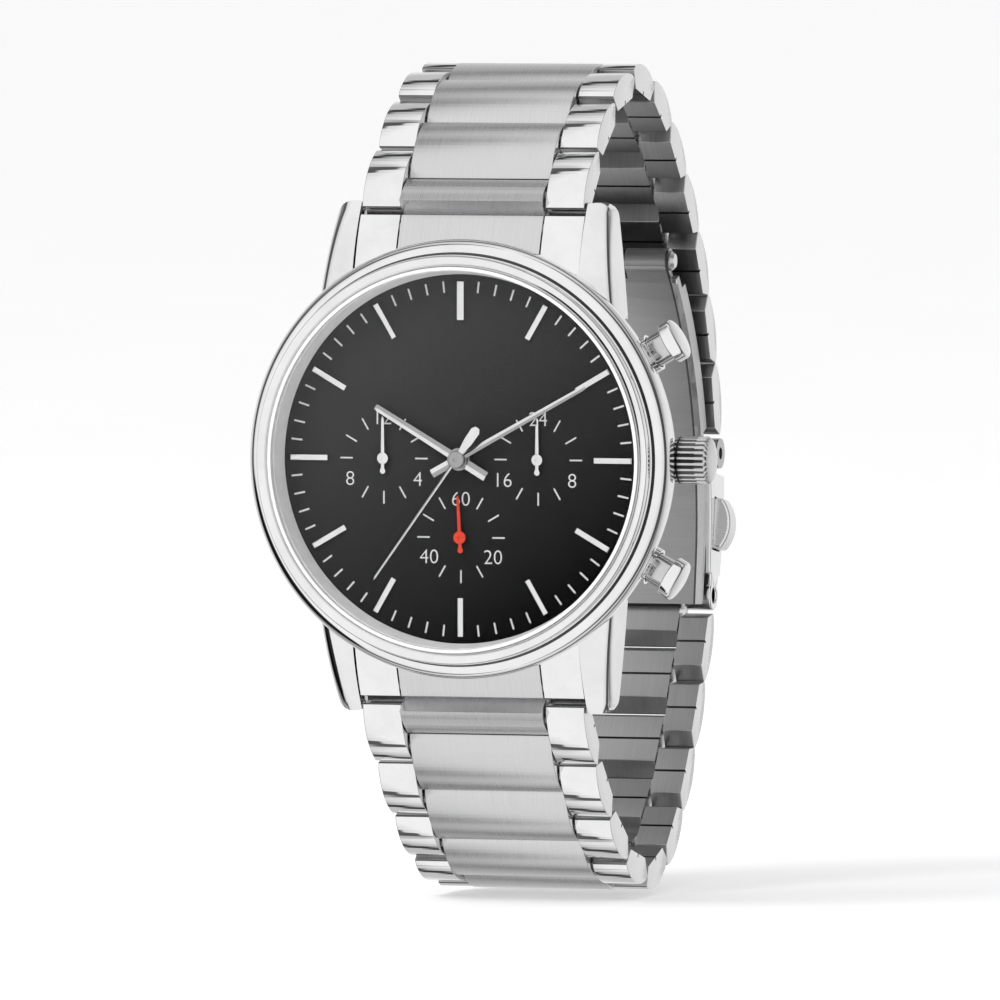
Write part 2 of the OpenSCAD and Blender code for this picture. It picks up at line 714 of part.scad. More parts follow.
// Spring bars, with thin tips in the lugs
module spring_bars() color("silver") for (sz = [-1, 1])
  translate([0, -bar_h, sz * bar_z]) rotate([0, 90, 0]) {
    translate([0, 0, -lug_in - bar_tip_len]) cylinder(r = spring_tip_r, h = 2 * (lug_in + bar_tip_len));
    translate([0, 0, fit_clear - lug_in]) cylinder(r = spring_bar_r, h = 2 * (lug_in - fit_clear));
  }

// Height of the end link front at distance z from the middle
function end_front(z) = end_top - end_drop * pow((z - lug_root) / (lug_tip - end_short - lug_root), 2);

// Side drawing of the end link, up to the plane where the first link begins
module end_profile(dir) difference() {
  steps = 12;
  polygon(concat([for (i = [0 : steps])
    let (z = lug_root + (lug_tip + end_past - lug_root) * i / steps) [-end_front(z), z]],
    [[-end_low, lug_tip], [-end_low, lug_root]]));
  translate([hinge_y, hinge_z]) rotate(dir) translate([end_plane, 0]) {
    translate([0, -pitch]) square(2 * pitch);
    polygon(concat(end_nose, [[0, pitch], [end_nose[0][0], pitch]]));
  }
  translate([-bar_h, bar_z]) circle(spring_bar_r + run_clear);
}

// Sums of the sines and cosines of a list of angles
function sines(v, i = 0) = i < len(v) ? sin(v[i]) + sines(v, i + 1) : 0;
function cosines(v, i = 0) = i < len(v) ? cos(v[i]) + cosines(v, i + 1) : 0;

// Underside of the first link near its case end, as the distance from the hinge at a depth y
function under_end(y) = pitch / 4 - piece_len / 2 + link_slope * (link_edge - y) / (link_edge + link_bottom);

// Tongue of the end link that closes the view under the first link
module end_tongue(dir) translate([hinge_y, hinge_z]) rotate(dir) polygon([[end_plane - neck_in, tongue_top],
  [under_end(tongue_top) - tongue_clear, tongue_top],
  [under_end(-link_bottom) - tongue_clear, -link_bottom - tongue_drop],
  [tongue_end, -link_bottom - tongue_drop], [tongue_end, -link_bottom - tongue_drop - tongue_t],
  [end_plane - neck_in, -link_bottom - tongue_drop - tongue_t]]);

// End link between the lugs: polished sides, brushed centre and a half piece for the first hinge
module end_link(dir) {
  difference() {
    union() {
      both(outer_in, band_half) difference() {
        union() {
          end_profile(dir);
          end_tongue(dir);
        }
        translate([-bar_h, bar_z]) circle(spring_bar_r + run_clear);
      }
      across(-centre_half, centre_half) difference() {
        union() {
          end_profile(dir);
          translate([hinge_y, hinge_z]) rotate(dir) intersection() {
            translate([-pitch / 4, 0]) piece(1);
            translate([end_plane, 0]) polygon([[0, pitch], [0, end_nose[2][1]], [-neck_in, end_nose[2][1]],
              [-neck_in, -pitch], [pitch, -pitch], [pitch, pitch]]);
          }
        }
        translate([hinge_y, hinge_z]) circle(pin_r + press_clear);
        translate([-bar_h, bar_z]) circle(spring_bar_r + run_clear);
      }
    }
    head() translate([0, 0, -over]) cylinder(r = case_r + fit_clear, h = case_top + 2 * over);
  }
  across(-pin_half(0), pin_half(0)) translate([hinge_y, hinge_z]) circle(pin_r);
}

module end_link_12() color("silver") end_link(dir_12[0]);

module end_link_6() color("silver") mirror([0, 0, 1]) end_link(-dir_6[0]);

// Side drawing of one folded link piece; sgn is 1 on the 12 side and -1 on the 6 side
module piece(sgn) {
  ends = [[nose_run, 2 * link_top], [0, link_nose], [0, link_edge], [link_slope, -link_bottom]];
  left = [for (q = ends) [q[0] - piece_len / 2, sgn * q[1]]];
  right = [for (i = [len(ends) - 1 : -1 : 0]) [piece_len / 2 - ends[i][0], sgn * ends[i][1]]];
  difference() {
    intersection() {
      translate([0, sgn * (link_top - link_arc)]) circle(link_arc);
      polygon(concat(left, right));
    }
    translate([-seam_w / 2, -sgn * link_bottom - seam_d]) square([seam_w, 2 * seam_d]);
  }
}

// Link k of one side: two outer pieces with blind bores, a centre piece half a pitch further,
// the pin that holds them together and the pin of the next hinge
module link(dirs, z0, k, sgn) {
  q = hinge(dirs, z0, k);
  held = q + pitch / 2 * unit(dirs[k]);
  next = q + pitch * unit(dirs[k]);
  difference() {
    both(outer_in, link_half(k)) translate(q) rotate(dirs[k]) translate([pitch / 4, 0]) piece(sgn);
    both(outer_in - over, link_half(k) - bore_end) {
      translate(q) circle(pin_r + run_clear);
      translate(held) circle(pin_r + press_clear);
    }
  }
  across(-centre_half, centre_half) difference() {
    translate(q) rotate(dirs[k]) translate([3 * pitch / 4, 0]) piece(sgn);
    translate(held) circle(pin_r + press_clear);
    translate(next) circle(pin_r + press_clear);
  }
  across(-pin_half(k), pin_half(k)) translate(held) circle(pin_r);
  across(-pin_half(k + 1), pin_half(k + 1)) translate(next) circle(pin_r);
}

module link_12(k) color("silver") link(dir_12, hinge_z, k - 1, 1);

module link_6(k) color("silver") link(dir_6, -hinge_z, k - 1, -1);

module link_12_1() link_12(1);

module link_12_2() link_12(2);

module link_12_3() link_12(3);

module link_12_4() link_12(4);

module link_12_5() link_12(5);

module link_12_6() link_12(6);

module link_12_7() link_12(7);

module link_12_8() link_12(8);

module link_12_9() link_12(9);

module link_12_10() link_12(10);

module link_6_1() link_6(1);

module link_6_2() link_6(2);

module link_6_3() link_6(3);

module link_6_4() link_6(4);

module link_6_5() link_6(5);

module link_6_6() link_6(6);

module link_6_7() link_6(7);

module link_6_8() link_6(8);

module link_6_9() link_6(9);

// Drawing frame of the arm: from the pivot at the last link towards the fold hinge
module arm_frame() translate(p12) rotate(arm_dir) children();

// Fold-over arm: two knuckles on the last link, cheeks, a bowed bar and the tube of the fold hinge
module clasp_arm() color("silver") {
  difference() {
    both(outer_in, clasp_half) translate(p12) circle(knuckle_r);
    both(outer_in - over, clasp_half + over) translate(p12) circle(pin_r + run_clear);
  }
  difference() {
    both(outer_in, arm_half) arm_frame() polygon([[0.4, 1.0], [1.0, -0.3], cheek_foot,
      [arm_start + cheek_len, 0.2], [arm_start + cheek_len, 1.0], [arm_start, arm_shift + clasp_t / 2],
      [0.4, 1.35]]);
    both(outer_in - over, clasp_half + over) translate(p12) circle(knuckle_r - 0.2);
  }
  difference() {
    across(-arm_half, arm_half) arm_frame()
      bow_band([arm_start, arm_shift], [arm_len, -arm_shift], -arm_bow, -clasp_t / 2, clasp_t / 2, 0, 1);
    for (s = [-1, 1]) rotate([90, 0, 90]) arm_plan(s);
    across(-tube_half - over, tube_half + over) translate(p_fold) circle(fold_r - 0.2);
  }
  across(-tube_half, tube_half) translate(p_fold) difference() {
    circle(fold_r);
    circle(fold_pin_r + run_clear);
  }
}

// What the taper of the arm takes off on one side
module arm_plan(s) translate([p12[0], p12[1], 0]) rotate([0, 0, arm_dir]) rotate([90, 0, 0])
  translate([0, 0, -arm_depth]) linear_extrude(2 * arm_depth) polygon([
    [arm_start + arm_taper, s * arm_half], [arm_len - arm_taper, s * tube_half],
    [arm_len + fold_r + over, s * tube_half], [arm_len + fold_r + over, s * (arm_half + over)],
    [arm_start + arm_taper, s * (arm_half + over)]]);

// Ends of the bow of the skin plate
function plate_top() = let (d = (p6 - p_fold) / norm(p6 - p_fold)) p_fold + plate_lift * [d[1], -d[0]];
function plate_end() =
  clasp_mid + (cover_low + 2 * fit_clear) * unit(clasp_dir) - plate_drop * unit(clasp_dir - 90);

// Skin plate: a bowed channel with side lips and the two outer knuckles of the fold hinge
module clasp_plate() color("gray") {
  difference() {
    union() {
      across(-plate_half, plate_half)
        bow_band(plate_top(), plate_end(), plate_bow, -clasp_t / 2, clasp_t / 2, 0, 1);
      both(lip_in, plate_half)
        bow_band(plate_top(), plate_end(), plate_bow, 0, clasp_t / 2 + lip_h, 0.1, 0.6);
      both(tube_half + fit_clear, fold_half) translate(p_fold) circle(fold_r);
    }
    across(-tube_half - 2 * fit_clear, tube_half + 2 * fit_clear) translate(p_fold)
      circle(fold_r + fold_space);
    across(-plate_half - over, plate_half + over) translate(p_fold) circle(fold_pin_r + press_clear);
    both(fold_half, plate_half + over) translate(p_fold) circle(fold_r + fold_space);
  }
}

// Drawing frame of the cover: along the bracelet from the middle between the two last pivots
module cover_frame() translate(clasp_mid) rotate(clasp_dir) children();

// Cover on the skin plate, with two fingers round the last pin of the 6 side and pockets for the buttons
module clasp_cover() color("silver") difference() {
  union() {
    across(-clasp_half, clasp_half) difference() {
      cover_frame() intersection() {
        translate([cover_low, -pitch]) square([cover_len, 2 * pitch]);
        translate([0, cover_arc - cover_top]) circle(cover_arc, $fn = 128);
      }
      bow_band(plate_top(), plate_end(), plate_bow, -2 * pitch, clasp_t / 2 + tiny, 0.3, 1.2);
    }
    both(outer_in, clasp_half) {
      translate(p6) circle(knuckle_r);
      cover_frame() translate([-clasp_gap / 2, -0.8 * knuckle_r])
        square([pitch / 4 + link_gap + neck_in, 1.6 * knuckle_r]);
    }
  }
  both(outer_in - over, clasp_half + over) translate(p6) circle(pin_r + open_clear);
  both(button_in - button_travel - fit_clear, clasp_half + over) cover_frame() button_pocket();
}

// Side outline of the pocket of a push button
module button_pocket() square([button_len + 2 * fit_clear, button_t + 2 * fit_clear], center = true);

// Push button with a convex outer end
module clasp_button() rotate([90, 0, 90]) translate([clasp_mid[0], clasp_mid[1], 0]) rotate([0, 0, clasp_dir])
  rotate([90, 0, 0]) translate([0, 0, -button_t / 2]) linear_extrude(button_t) intersection() {
    translate([-button_len / 2, button_in]) square([button_len, clasp_half + button_out - button_in + over]);
    translate([0, clasp_half + button_out - button_arc]) circle(button_arc);
  }

module clasp_button_right() color("silver") clasp_button();

module clasp_button_left() color("silver") mirror([1, 0, 0]) clasp_button();

// Pin of the fold hinge, with a bevelled head at each end
module clasp_pin() color("silver") translate([0, p_fold[0], p_fold[1]]) rotate([0, 90, 0]) {
  cylinder(r = fold_pin_r, h = 2 * (fold_half + head_t / 2), center = true);
  for (s = [0, 1]) mirror([0, 0, s]) translate([0, 0, fold_half + tiny]) rotate_extrude()
    polygon([[0, 0], [head_r, 0], [head_r, head_t - head_bevel], [head_r - head_bevel, head_t], [0, head_t]]);
}

case_middle();
case_back();
back_gasket();
movement_ring();
movement();
battery();
dial();
hour_markers();
flange();
crystal();
crystal_gasket();
bezel();
hour_hand();
minute_hand();
seconds_hand();
hour_counter_hand();
day_hand();
minute_counter_hand();
crown();
crown_seal();
crown_tube();
pusher_top();
pusher_bottom();
pusher_tubes();
spring_bars();
end_link_12();
end_link_6();
link_12_1();
link_12_2();
link_12_3();
link_12_4();
link_12_5();
link_12_6();
link_12_7();
link_12_8();
link_12_9();
link_12_10();
link_6_1();
link_6_2();
link_6_3();
link_6_4();
link_6_5();
link_6_6();
link_6_7();
link_6_8();
link_6_9();
clasp_arm();
clasp_plate();
clasp_cover();
clasp_pin();
clasp_button_right();
clasp_button_left();
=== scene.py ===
import math

import bmesh
import bpy
from mathutils import Matrix, Vector


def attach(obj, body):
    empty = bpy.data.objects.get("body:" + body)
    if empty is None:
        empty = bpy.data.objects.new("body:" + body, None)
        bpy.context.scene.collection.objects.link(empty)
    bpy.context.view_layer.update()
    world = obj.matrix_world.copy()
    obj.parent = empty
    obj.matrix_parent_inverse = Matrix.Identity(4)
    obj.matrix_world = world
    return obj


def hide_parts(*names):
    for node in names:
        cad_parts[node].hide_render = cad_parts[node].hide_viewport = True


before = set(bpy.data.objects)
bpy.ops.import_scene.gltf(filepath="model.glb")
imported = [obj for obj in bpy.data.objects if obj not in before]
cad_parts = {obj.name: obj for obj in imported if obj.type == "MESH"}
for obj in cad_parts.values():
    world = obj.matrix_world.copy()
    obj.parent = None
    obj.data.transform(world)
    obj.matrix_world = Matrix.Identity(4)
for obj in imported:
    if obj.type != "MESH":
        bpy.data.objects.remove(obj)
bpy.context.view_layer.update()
mm = 0.001
reliefDepth = 0.00002   # how deep the grain of a finish is cut
print("frame loaded:", len(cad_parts), "nodes")


# finishes

def makeStreakGroup():
    group = bpy.data.node_groups.new("brushedStreaks", "ShaderNodeTree")
    group.interface.new_socket("Scale", in_out="INPUT", socket_type="NodeSocketVector")
    group.interface.new_socket("Contrast", in_out="INPUT", socket_type="NodeSocketFloat")
    group.interface.new_socket("Streak", in_out="OUTPUT", socket_type="NodeSocketFloat")
    nodes, links = group.nodes, group.links
    groupIn = nodes.new("NodeGroupInput")
    groupOut = nodes.new("NodeGroupOutput")
    coords = nodes.new("ShaderNodeTexCoord")
    stretch = nodes.new("ShaderNodeVectorMath")
    stretch.operation = "MULTIPLY"
    links.new(coords.outputs["Object"], stretch.inputs[0])
    links.new(groupIn.outputs["Scale"], stretch.inputs[1])
    grain = nodes.new("ShaderNodeTexNoise")
    grain.inputs["Scale"].default_value = 1.0
    grain.inputs["Detail"].default_value = 3.0
    grain.inputs["Roughness"].default_value = 0.6
    links.new(stretch.outputs[0], grain.inputs["Vector"])
    centred = nodes.new("ShaderNodeMath")
    centred.operation = "SUBTRACT"
    centred.inputs[1].default_value = 0.5
    links.new(grain.outputs["Fac"], centred.inputs[0])
    spread = nodes.new("ShaderNodeMath")
    spread.operation = "MULTIPLY_ADD"
    spread.use_clamp = True
    spread.inputs[2].default_value = 0.5
    links.new(centred.outputs[0], spread.inputs[0])
    links.new(groupIn.outputs["Contrast"], spread.inputs[1])
    links.new(spread.outputs[0], groupOut.inputs["Streak"])
    return group


def makeSmudgeGroup():
    group = bpy.data.node_groups.new("handlingMarks", "ShaderNodeTree")
    group.interface.new_socket("Size", in_out="INPUT", socket_type="NodeSocketFloat")
    group.interface.new_socket("Mark", in_out="OUTPUT", socket_type="NodeSocketFloat")
    nodes, links = group.nodes, group.links
    groupIn = nodes.new("NodeGroupInput")
    groupOut = nodes.new("NodeGroupOutput")
    coords = nodes.new("ShaderNodeTexCoord")
    patch = nodes.new("ShaderNodeTexNoise")
    patch.inputs["Detail"].default_value = 5.0
    patch.inputs["Roughness"].default_value = 0.62
    links.new(coords.outputs["Object"], patch.inputs["Vector"])
    links.new(groupIn.outputs["Size"], patch.inputs["Scale"])
    steps = nodes.new("ShaderNodeMapRange")
    steps.inputs["From Min"].default_value = 0.38
    steps.inputs["From Max"].default_value = 0.72
    links.new(patch.outputs["Fac"], steps.inputs["Value"])
    links.new(steps.outputs[0], groupOut.inputs["Mark"])
    return group


streakGroup = makeStreakGroup()
smudgeGroup = makeSmudgeGroup()


def startMaterial(name):
    mat = bpy.data.materials.new(name)
    mat.use_nodes = True
    tree = mat.node_tree
    shader = next(n for n in tree.nodes if n.type == "BSDF_PRINCIPLED")
    return mat, tree, shader


def addStreak(tree, scale, contrast):
    node = tree.nodes.new("ShaderNodeGroup")
    node.node_tree = streakGroup
    node.inputs["Scale"].default_value = scale
    node.inputs["Contrast"].default_value = contrast
    return node.outputs["Streak"]


def addSmudge(tree, size):
    node = tree.nodes.new("ShaderNodeGroup")
    node.node_tree = smudgeGroup
    node.inputs["Size"].default_value = size
    return node.outputs["Mark"]


def addRange(tree, value, low, high):
    node = tree.nodes.new("ShaderNodeMapRange")
    node.inputs["To Min"].default_value = low
    node.inputs["To Max"].default_value = high
    tree.links.new(value, node.inputs["Value"])
    return node.outputs[0]


def addTint(tree, value, dark, light):
    node = tree.nodes.new("ShaderNodeMix")
    node.data_type = "RGBA"
    node.inputs[6].default_value = (*dark, 1.0)
    node.inputs[7].default_value = (*light, 1.0)
    tree.links.new(value, node.inputs[0])
    return node.outputs[2]


def addBump(tree, shader, height, strength, distance):
    node = tree.nodes.new("ShaderNodeBump")
    node.inputs["Strength"].default_value = strength
    node.inputs["Distance"].default_value = distance
    tree.links.new(height, node.inputs["Height"])
    tree.links.new(node.outputs["Normal"], shader.inputs["Normal"])


def brushedMetal(name, dark, light, rough, scale, contrast, bump):
    mat, tree, shader = startMaterial(name)
    streak = addStreak(tree, scale, contrast)
    tree.links.new(addTint(tree, streak, dark, light), shader.inputs["Base Color"])
    tree.links.new(addRange(tree, streak, *rough), shader.inputs["Roughness"])
    shader.inputs["Metallic"].default_value = 1.0
    addBump(tree, shader, streak, bump, reliefDepth)
    return mat


def polishedMetal(name, dark, light, rough, size):
    mat, tree, shader = startMaterial(name)
    mark = addSmudge(tree, size)
    tree.links.new(addTint(tree, mark, light, dark), shader.inputs["Base Color"])
    tree.links.new(addRange(tree, mark, *rough), shader.inputs["Roughness"])
    shader.inputs["Metallic"].default_value = 1.0
    return mat


def grainedSolid(name, dark, light, rough, size, bump=0.0):
    mat, tree, shader = startMaterial(name)
    mark = addSmudge(tree, size)
    tree.links.new(addTint(tree, mark, dark, light), shader.inputs["Base Color"])
    tree.links.new(addRange(tree, mark, *rough), shader.inputs["Roughness"])
    if bump:
        addBump(tree, shader, mark, bump, reliefDepth)
    return mat


finish = {
    "polished": polishedMetal("polishedSteel", (0.80, 0.80, 0.805), (0.88, 0.88, 0.885), (0.03, 0.07), 260.0),
    "bezel": polishedMetal("bezelSteel", (0.80, 0.80, 0.80), (0.88, 0.88, 0.88), (0.04, 0.08), 220.0),
    "lug": polishedMetal("lugSteel", (0.76, 0.76, 0.76), (0.84, 0.84, 0.84), (0.08, 0.13), 240.0),
    "brushed": brushedMetal("brushedSteel", (0.62, 0.62, 0.625), (0.74, 0.74, 0.745), (0.25, 0.33),
                            (14000, 150, 150), 1.6, 0.05),
    "satin": brushedMetal("satinSteel", (0.74, 0.74, 0.745), (0.82, 0.82, 0.825), (0.22, 0.30),
                          (1200, 400, 7000), 1.2, 0.02),
    # painted shade: a darker copy of the brushed steel for the wrist-side faces
    "inner": brushedMetal("wristShadeSteel", (0.40, 0.40, 0.405), (0.52, 0.52, 0.525), (0.28, 0.38),
                          (9000, 200, 200), 1.6, 0.06),
    "plate": brushedMetal("plateSteel", (0.46, 0.46, 0.46), (0.54, 0.54, 0.54), (0.26, 0.34),
                          (300, 6000, 6000), 1.4, 0.03),
    # painted shade: a near-black copy of the steel, laid where shadow falls in grooves, flute floors and the gaps
    # between links
    "paintedShade": brushedMetal("paintedShadeSteel", (0.10, 0.10, 0.10), (0.18, 0.18, 0.18), (0.30, 0.40),
                           (900, 5000, 5000), 1.4, 0.03),
    # painted shade: a darker copy of the polished steel, on the crown and the pusher necks
    "crown": polishedMetal("crownShadeSteel", (0.56, 0.56, 0.56), (0.64, 0.64, 0.64), (0.10, 0.16), 300.0),
    "marker": polishedMetal("markerSteel", (0.84, 0.84, 0.84), (0.93, 0.93, 0.93), (0.10, 0.18), 500.0),
    "hand": polishedMetal("handSteel", (0.84, 0.84, 0.84), (0.92, 0.92, 0.92), (0.10, 0.18), 500.0),
    # painted shade: a darker satin copy of the hand steel, for one facet of each hand and the hubs
    "handShade": brushedMetal("handShadeSatin", (0.40, 0.40, 0.40), (0.50, 0.50, 0.50), (0.28, 0.36),
                              (6000, 6000, 6000), 1.4, 0.03),
    "handRed": grainedSolid("handRed", (0.62, 0.030, 0.006), (0.80, 0.055, 0.012), (0.3, 0.42), 900.0),
    "flange": grainedSolid("flangeSteel", (0.82, 0.82, 0.82), (0.92, 0.92, 0.92), (0.42, 0.52), 900.0),
    "print": grainedSolid("printWhite", (0.62, 0.62, 0.61), (0.74, 0.74, 0.73), (0.45, 0.6), 2500.0),
    "gasket": grainedSolid("gasketRubber", (0.02, 0.02, 0.021), (0.045, 0.045, 0.045), (0.55, 0.75), 1800.0, 0.2),
    "holder": grainedSolid("holderPlastic", (0.60, 0.60, 0.58), (0.72, 0.72, 0.70), (0.4, 0.55), 900.0, 0.1),
    "brass": brushedMetal("movementBrass", (0.52, 0.36, 0.15), (0.70, 0.50, 0.22), (0.28, 0.40),
                          (1200, 400, 5000), 1.8, 0.08),
    "cell": brushedMetal("cellSteel", (0.50, 0.50, 0.50), (0.66, 0.66, 0.66), (0.25, 0.35),
                         (3000, 900, 900), 1.6, 0.05),
}


# the dial's slope paints light into its base colour, lighter to the upper left and darker to the lower right; the grain
# is the dial's own
dialLook = {"grain": 9000.0, "grainShare": 0.05, "slope": (-16.4, 0.0, 23.3), "paintedLightRange": (-0.46, 0.54),
            "dark": (0.0003, 0.0003, 0.0004), "light": (0.062, 0.062, 0.063), "rough": (0.42, 0.55),
            "specular": 0.02, "bump": 0.05, "bumpDepth": 0.00001}
crystalLook = {"size": 120.0, "dark": (0.008, 0.008, 0.009), "light": (0.014, 0.014, 0.015), "rough": (0.01, 0.03),
               "alpha": (0.03, 0.045), "ior": 1.52}


def makeDialFinish():
    s = dialLook
    mat, tree, shader = startMaterial("dialBlack")
    grain = addSmudge(tree, s["grain"])
    coords = tree.nodes.new("ShaderNodeTexCoord")
    slope = tree.nodes.new("ShaderNodeVectorMath")
    slope.operation = "DOT_PRODUCT"
    slope.inputs[1].default_value = s["slope"]   # painted light: the base colour is lighter to the upper left and darker to the lower right
    tree.links.new(coords.outputs["Object"], slope.inputs[0])
    paintedLight = tree.nodes.new("ShaderNodeMapRange")
    paintedLight.inputs["From Min"].default_value, paintedLight.inputs["From Max"].default_value = s["paintedLightRange"]
    tree.links.new(slope.outputs["Value"], paintedLight.inputs["Value"])
    blend = tree.nodes.new("ShaderNodeMath")
    blend.operation = "MULTIPLY_ADD"
    blend.use_clamp = True
    blend.inputs[1].default_value = s["grainShare"]
    tree.links.new(grain, blend.inputs[0])
    tree.links.new(paintedLight.outputs[0], blend.inputs[2])
    tree.links.new(addTint(tree, blend.outputs[0], s["dark"], s["light"]), shader.inputs["Base Color"])
    tree.links.new(addRange(tree, grain, *s["rough"]), shader.inputs["Roughness"])
    shader.inputs["Specular IOR Level"].default_value = s["specular"]
    addBump(tree, shader, grain, s["bump"], s["bumpDepth"])
    return mat


def makeCrystalFinish():
    s = crystalLook
    mat, tree, shader = startMaterial("crystalGlass")
    mark = addSmudge(tree, s["size"])
    tree.links.new(addTint(tree, mark, s["dark"], s["light"]), shader.inputs["Base Color"])
    tree.links.new(addRange(tree, mark, *s["rough"]), shader.inputs["Roughness"])
    tree.links.new(addRange(tree, mark, *s["alpha"]), shader.inputs["Alpha"])
    shader.inputs["IOR"].default_value = s["ior"]
    return mat


finish["dial"] = makeDialFinish()
finish["crystal"] = makeCrystalFinish()
print("finishes made:", len(finish))


# shared making steps

headTurn = Matrix(((1, 0, 0, 0), (0, 0, -1, 0), (0, 1, 0, 0), (0, 0, 0, 1)))   # dial plane to the watch frame


def curve(cx, cy, rx, ry, start, stop, count):
    angles = [math.radians(start + (stop - start) * i / count) for i in range(count + 1)]
    return [(cx + rx * math.cos(a), cy + ry * math.sin(a)) for a in angles]


def turnedPart(points, steps, closed=True):
    bm = bmesh.new()
    verts = [bm.verts.new((r * mm, 0, h * mm)) for r, h in points]
    edges = [bm.edges.new(pair) for pair in zip(verts, verts[1:])]
    if closed:
        edges.append(bm.edges.new((verts[-1], verts[0])))
    bmesh.ops.spin(bm, geom=verts + edges, axis=(0, 0, 1), cent=(0, 0, 0),
                   angle=2 * math.pi, steps=steps, use_merge=True)
    bmesh.ops.remove_doubles(bm, verts=bm.verts, dist=1e-7)
    bmesh.ops.dissolve_degenerate(bm, edges=bm.edges, dist=1e-8)
    bmesh.ops.recalc_face_normals(bm, faces=bm.faces)
    return bm


def pulledProfile(bm, points, low, high):
    # drawing in x and y, pulled along z
    face = bm.faces.new([bm.verts.new((a * mm, b * mm, low * mm)) for a, b in points])
    pulled = bmesh.ops.extrude_face_region(bm, geom=[face], use_keep_orig=True)
    moved = [g for g in pulled["geom"] if isinstance(g, bmesh.types.BMVert)]
    bmesh.ops.translate(bm, verts=moved, vec=(0, 0, (high - low) * mm))


def softenEdges(bm, edges, width, segments):
    bmesh.ops.bevel(bm, geom=list(edges), offset=width * mm, offset_type="OFFSET", segments=segments,
                    profile=0.5, affect="EDGES", material=-1, clamp_overlap=True)


def joinInto(target, source, matrix=None):
    if matrix is not None:
        bmesh.ops.transform(source, matrix=matrix, verts=source.verts)
    spare = bpy.data.meshes.new("spare")
    source.to_mesh(spare)
    target.from_mesh(spare)
    bpy.data.meshes.remove(spare)
    source.free()


def makePiece(name, bm, body, mats, nodes=(), sharp=32.0):
    bmesh.ops.recalc_face_normals(bm, faces=bm.faces)
    mesh = bpy.data.meshes.new(name)
    bm.to_mesh(mesh)
    bm.free()
    for mat in mats:
        mesh.materials.append(mat)
    mesh.shade_smooth()
    mesh.set_sharp_from_angle(angle=math.radians(sharp))
    for edge in mesh.edges:
        if edge.use_seam:
            edge.use_edge_sharp = True   # fold lines marked while modelling
    piece = bpy.data.objects.new(name, mesh)
    bpy.context.scene.collection.objects.link(piece)
    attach(piece, body)
    if nodes:
        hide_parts(*nodes)
    return piece


def copyNode(node):
    bm = bmesh.new()
    bm.from_mesh(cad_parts[node].data)
    bmesh.ops.remove_doubles(bm, verts=bm.verts, dist=2e-6)
    bmesh.ops.dissolve_degenerate(bm, edges=bm.edges, dist=1e-7)
    return bm


def softenPiece(piece, width, segments=2, angle=28.0):
    bevel = piece.modifiers.new("softEdges", "BEVEL")
    bevel.width = width * mm
    bevel.segments = segments
    bevel.limit_method = "ANGLE"
    bevel.angle_limit = math.radians(angle)
    bevel.miter_outer = "MITER_ARC"
    even = piece.modifiers.new("evenNormals", "WEIGHTED_NORMAL")   # keeps broad faces flat beside the soft edges
    even.keep_sharp = True


# bezel, flange and crystal, all turned

headSizes = {"steps": 192, "bezelRadius": 20.5, "bezelInner": 17.97, "bezelLow": 6.3, "bezelTop": 10.3, "lowEdge": 0.3,
             "bandStart": 0.7, "bandRise": 1.62, "stepRadius": 19.2, "stepHeight": 8.7, "grooveOut": 0.09,
             "grooveIn": 0.1, "grooveDepth": 0.35, "grooveReach": 0.12, "grooveTop": 0.1, "crestRadius": 18.85,
             "crestGap": 0.08, "crestRise": 1.6, "innerCurve": (0.97, 0.95), "dialHeight": 7.0, "flangeTop": 9.2,
             "flangeOuter": 17.92, "flangeSlope": 0.35, "viewRadius": 17.2, "crystalLow": 9.3, "crystalTop": 10.5,
             "crystalRadius": 17.65, "crystalEdge": 0.25, "crystalSteps": 128}


def buildHead():
    s = headSizes
    low, step, edge = s["bezelLow"], s["stepRadius"], s["lowEdge"]
    floor = s["stepHeight"] - s["grooveDepth"]
    bezel = turnedPart(
        [(s["bezelInner"], low), (s["bezelRadius"] - edge, low)]
        + curve(s["bezelRadius"] - edge, low + edge, edge, edge, -75, 0, 5)
        + curve(step, low + s["bandStart"], s["bezelRadius"] - step, s["bandRise"], 4, 86, 22)
        + [(step + s["grooveOut"], floor), (step - s["grooveIn"], floor)]
        + curve(s["crestRadius"], s["stepHeight"], step - s["crestGap"] - s["crestRadius"], s["crestRise"], 0, 88, 18)
        + curve(s["crestRadius"], s["bezelTop"] - s["innerCurve"][1], *s["innerCurve"], 90, 155, 14), s["steps"])
    for face in bezel.faces:
        middle = face.calc_center_median()
        offset = abs(math.hypot(middle.x, middle.y) - step * mm)
        if offset < s["grooveReach"] * mm and low * mm + 1e-5 < middle.z < (s["stepHeight"] - s["grooveTop"]) * mm:
            face.material_index = 1   # groove at the step, its faces in painted shade
    bmesh.ops.transform(bezel, matrix=headTurn, verts=bezel.verts)
    makePiece("bezelRing", bezel, "watch_head", [finish["bezel"], finish["paintedShade"]], ["bezel"], 30)

    flange = turnedPart([(s["viewRadius"], s["dialHeight"]), (s["flangeOuter"], s["dialHeight"]),
                         (s["flangeOuter"], s["flangeTop"]), (s["viewRadius"] + s["flangeSlope"], s["flangeTop"])],
                        s["steps"])
    bmesh.ops.transform(flange, matrix=headTurn, verts=flange.verts)
    makePiece("flangeRing", flange, "watch_head", [finish["flange"]], ["flange"])

    radius, low, top, edge = s["crystalRadius"], s["crystalLow"], s["crystalTop"], s["crystalEdge"]
    crystal = turnedPart([(0, low), (radius, low), (radius, top - edge)]
                         + curve(radius - edge, top - edge, edge, edge, 15, 90, 5) + [(0, top)],
                         s["crystalSteps"], False)
    bmesh.ops.transform(crystal, matrix=headTurn, verts=crystal.verts)
    makePiece("crystalPane", crystal, "watch_head", [finish["crystal"]], ["crystal"])


buildHead()
print("bezel, flange and crystal built")


# middle case with lugs, and end links

caseSizes = {"edge": 0.16, "endEdge": 0.12, "endCentre": 6.95, "tipStart": 23.1, "tipMerge": 0.24}


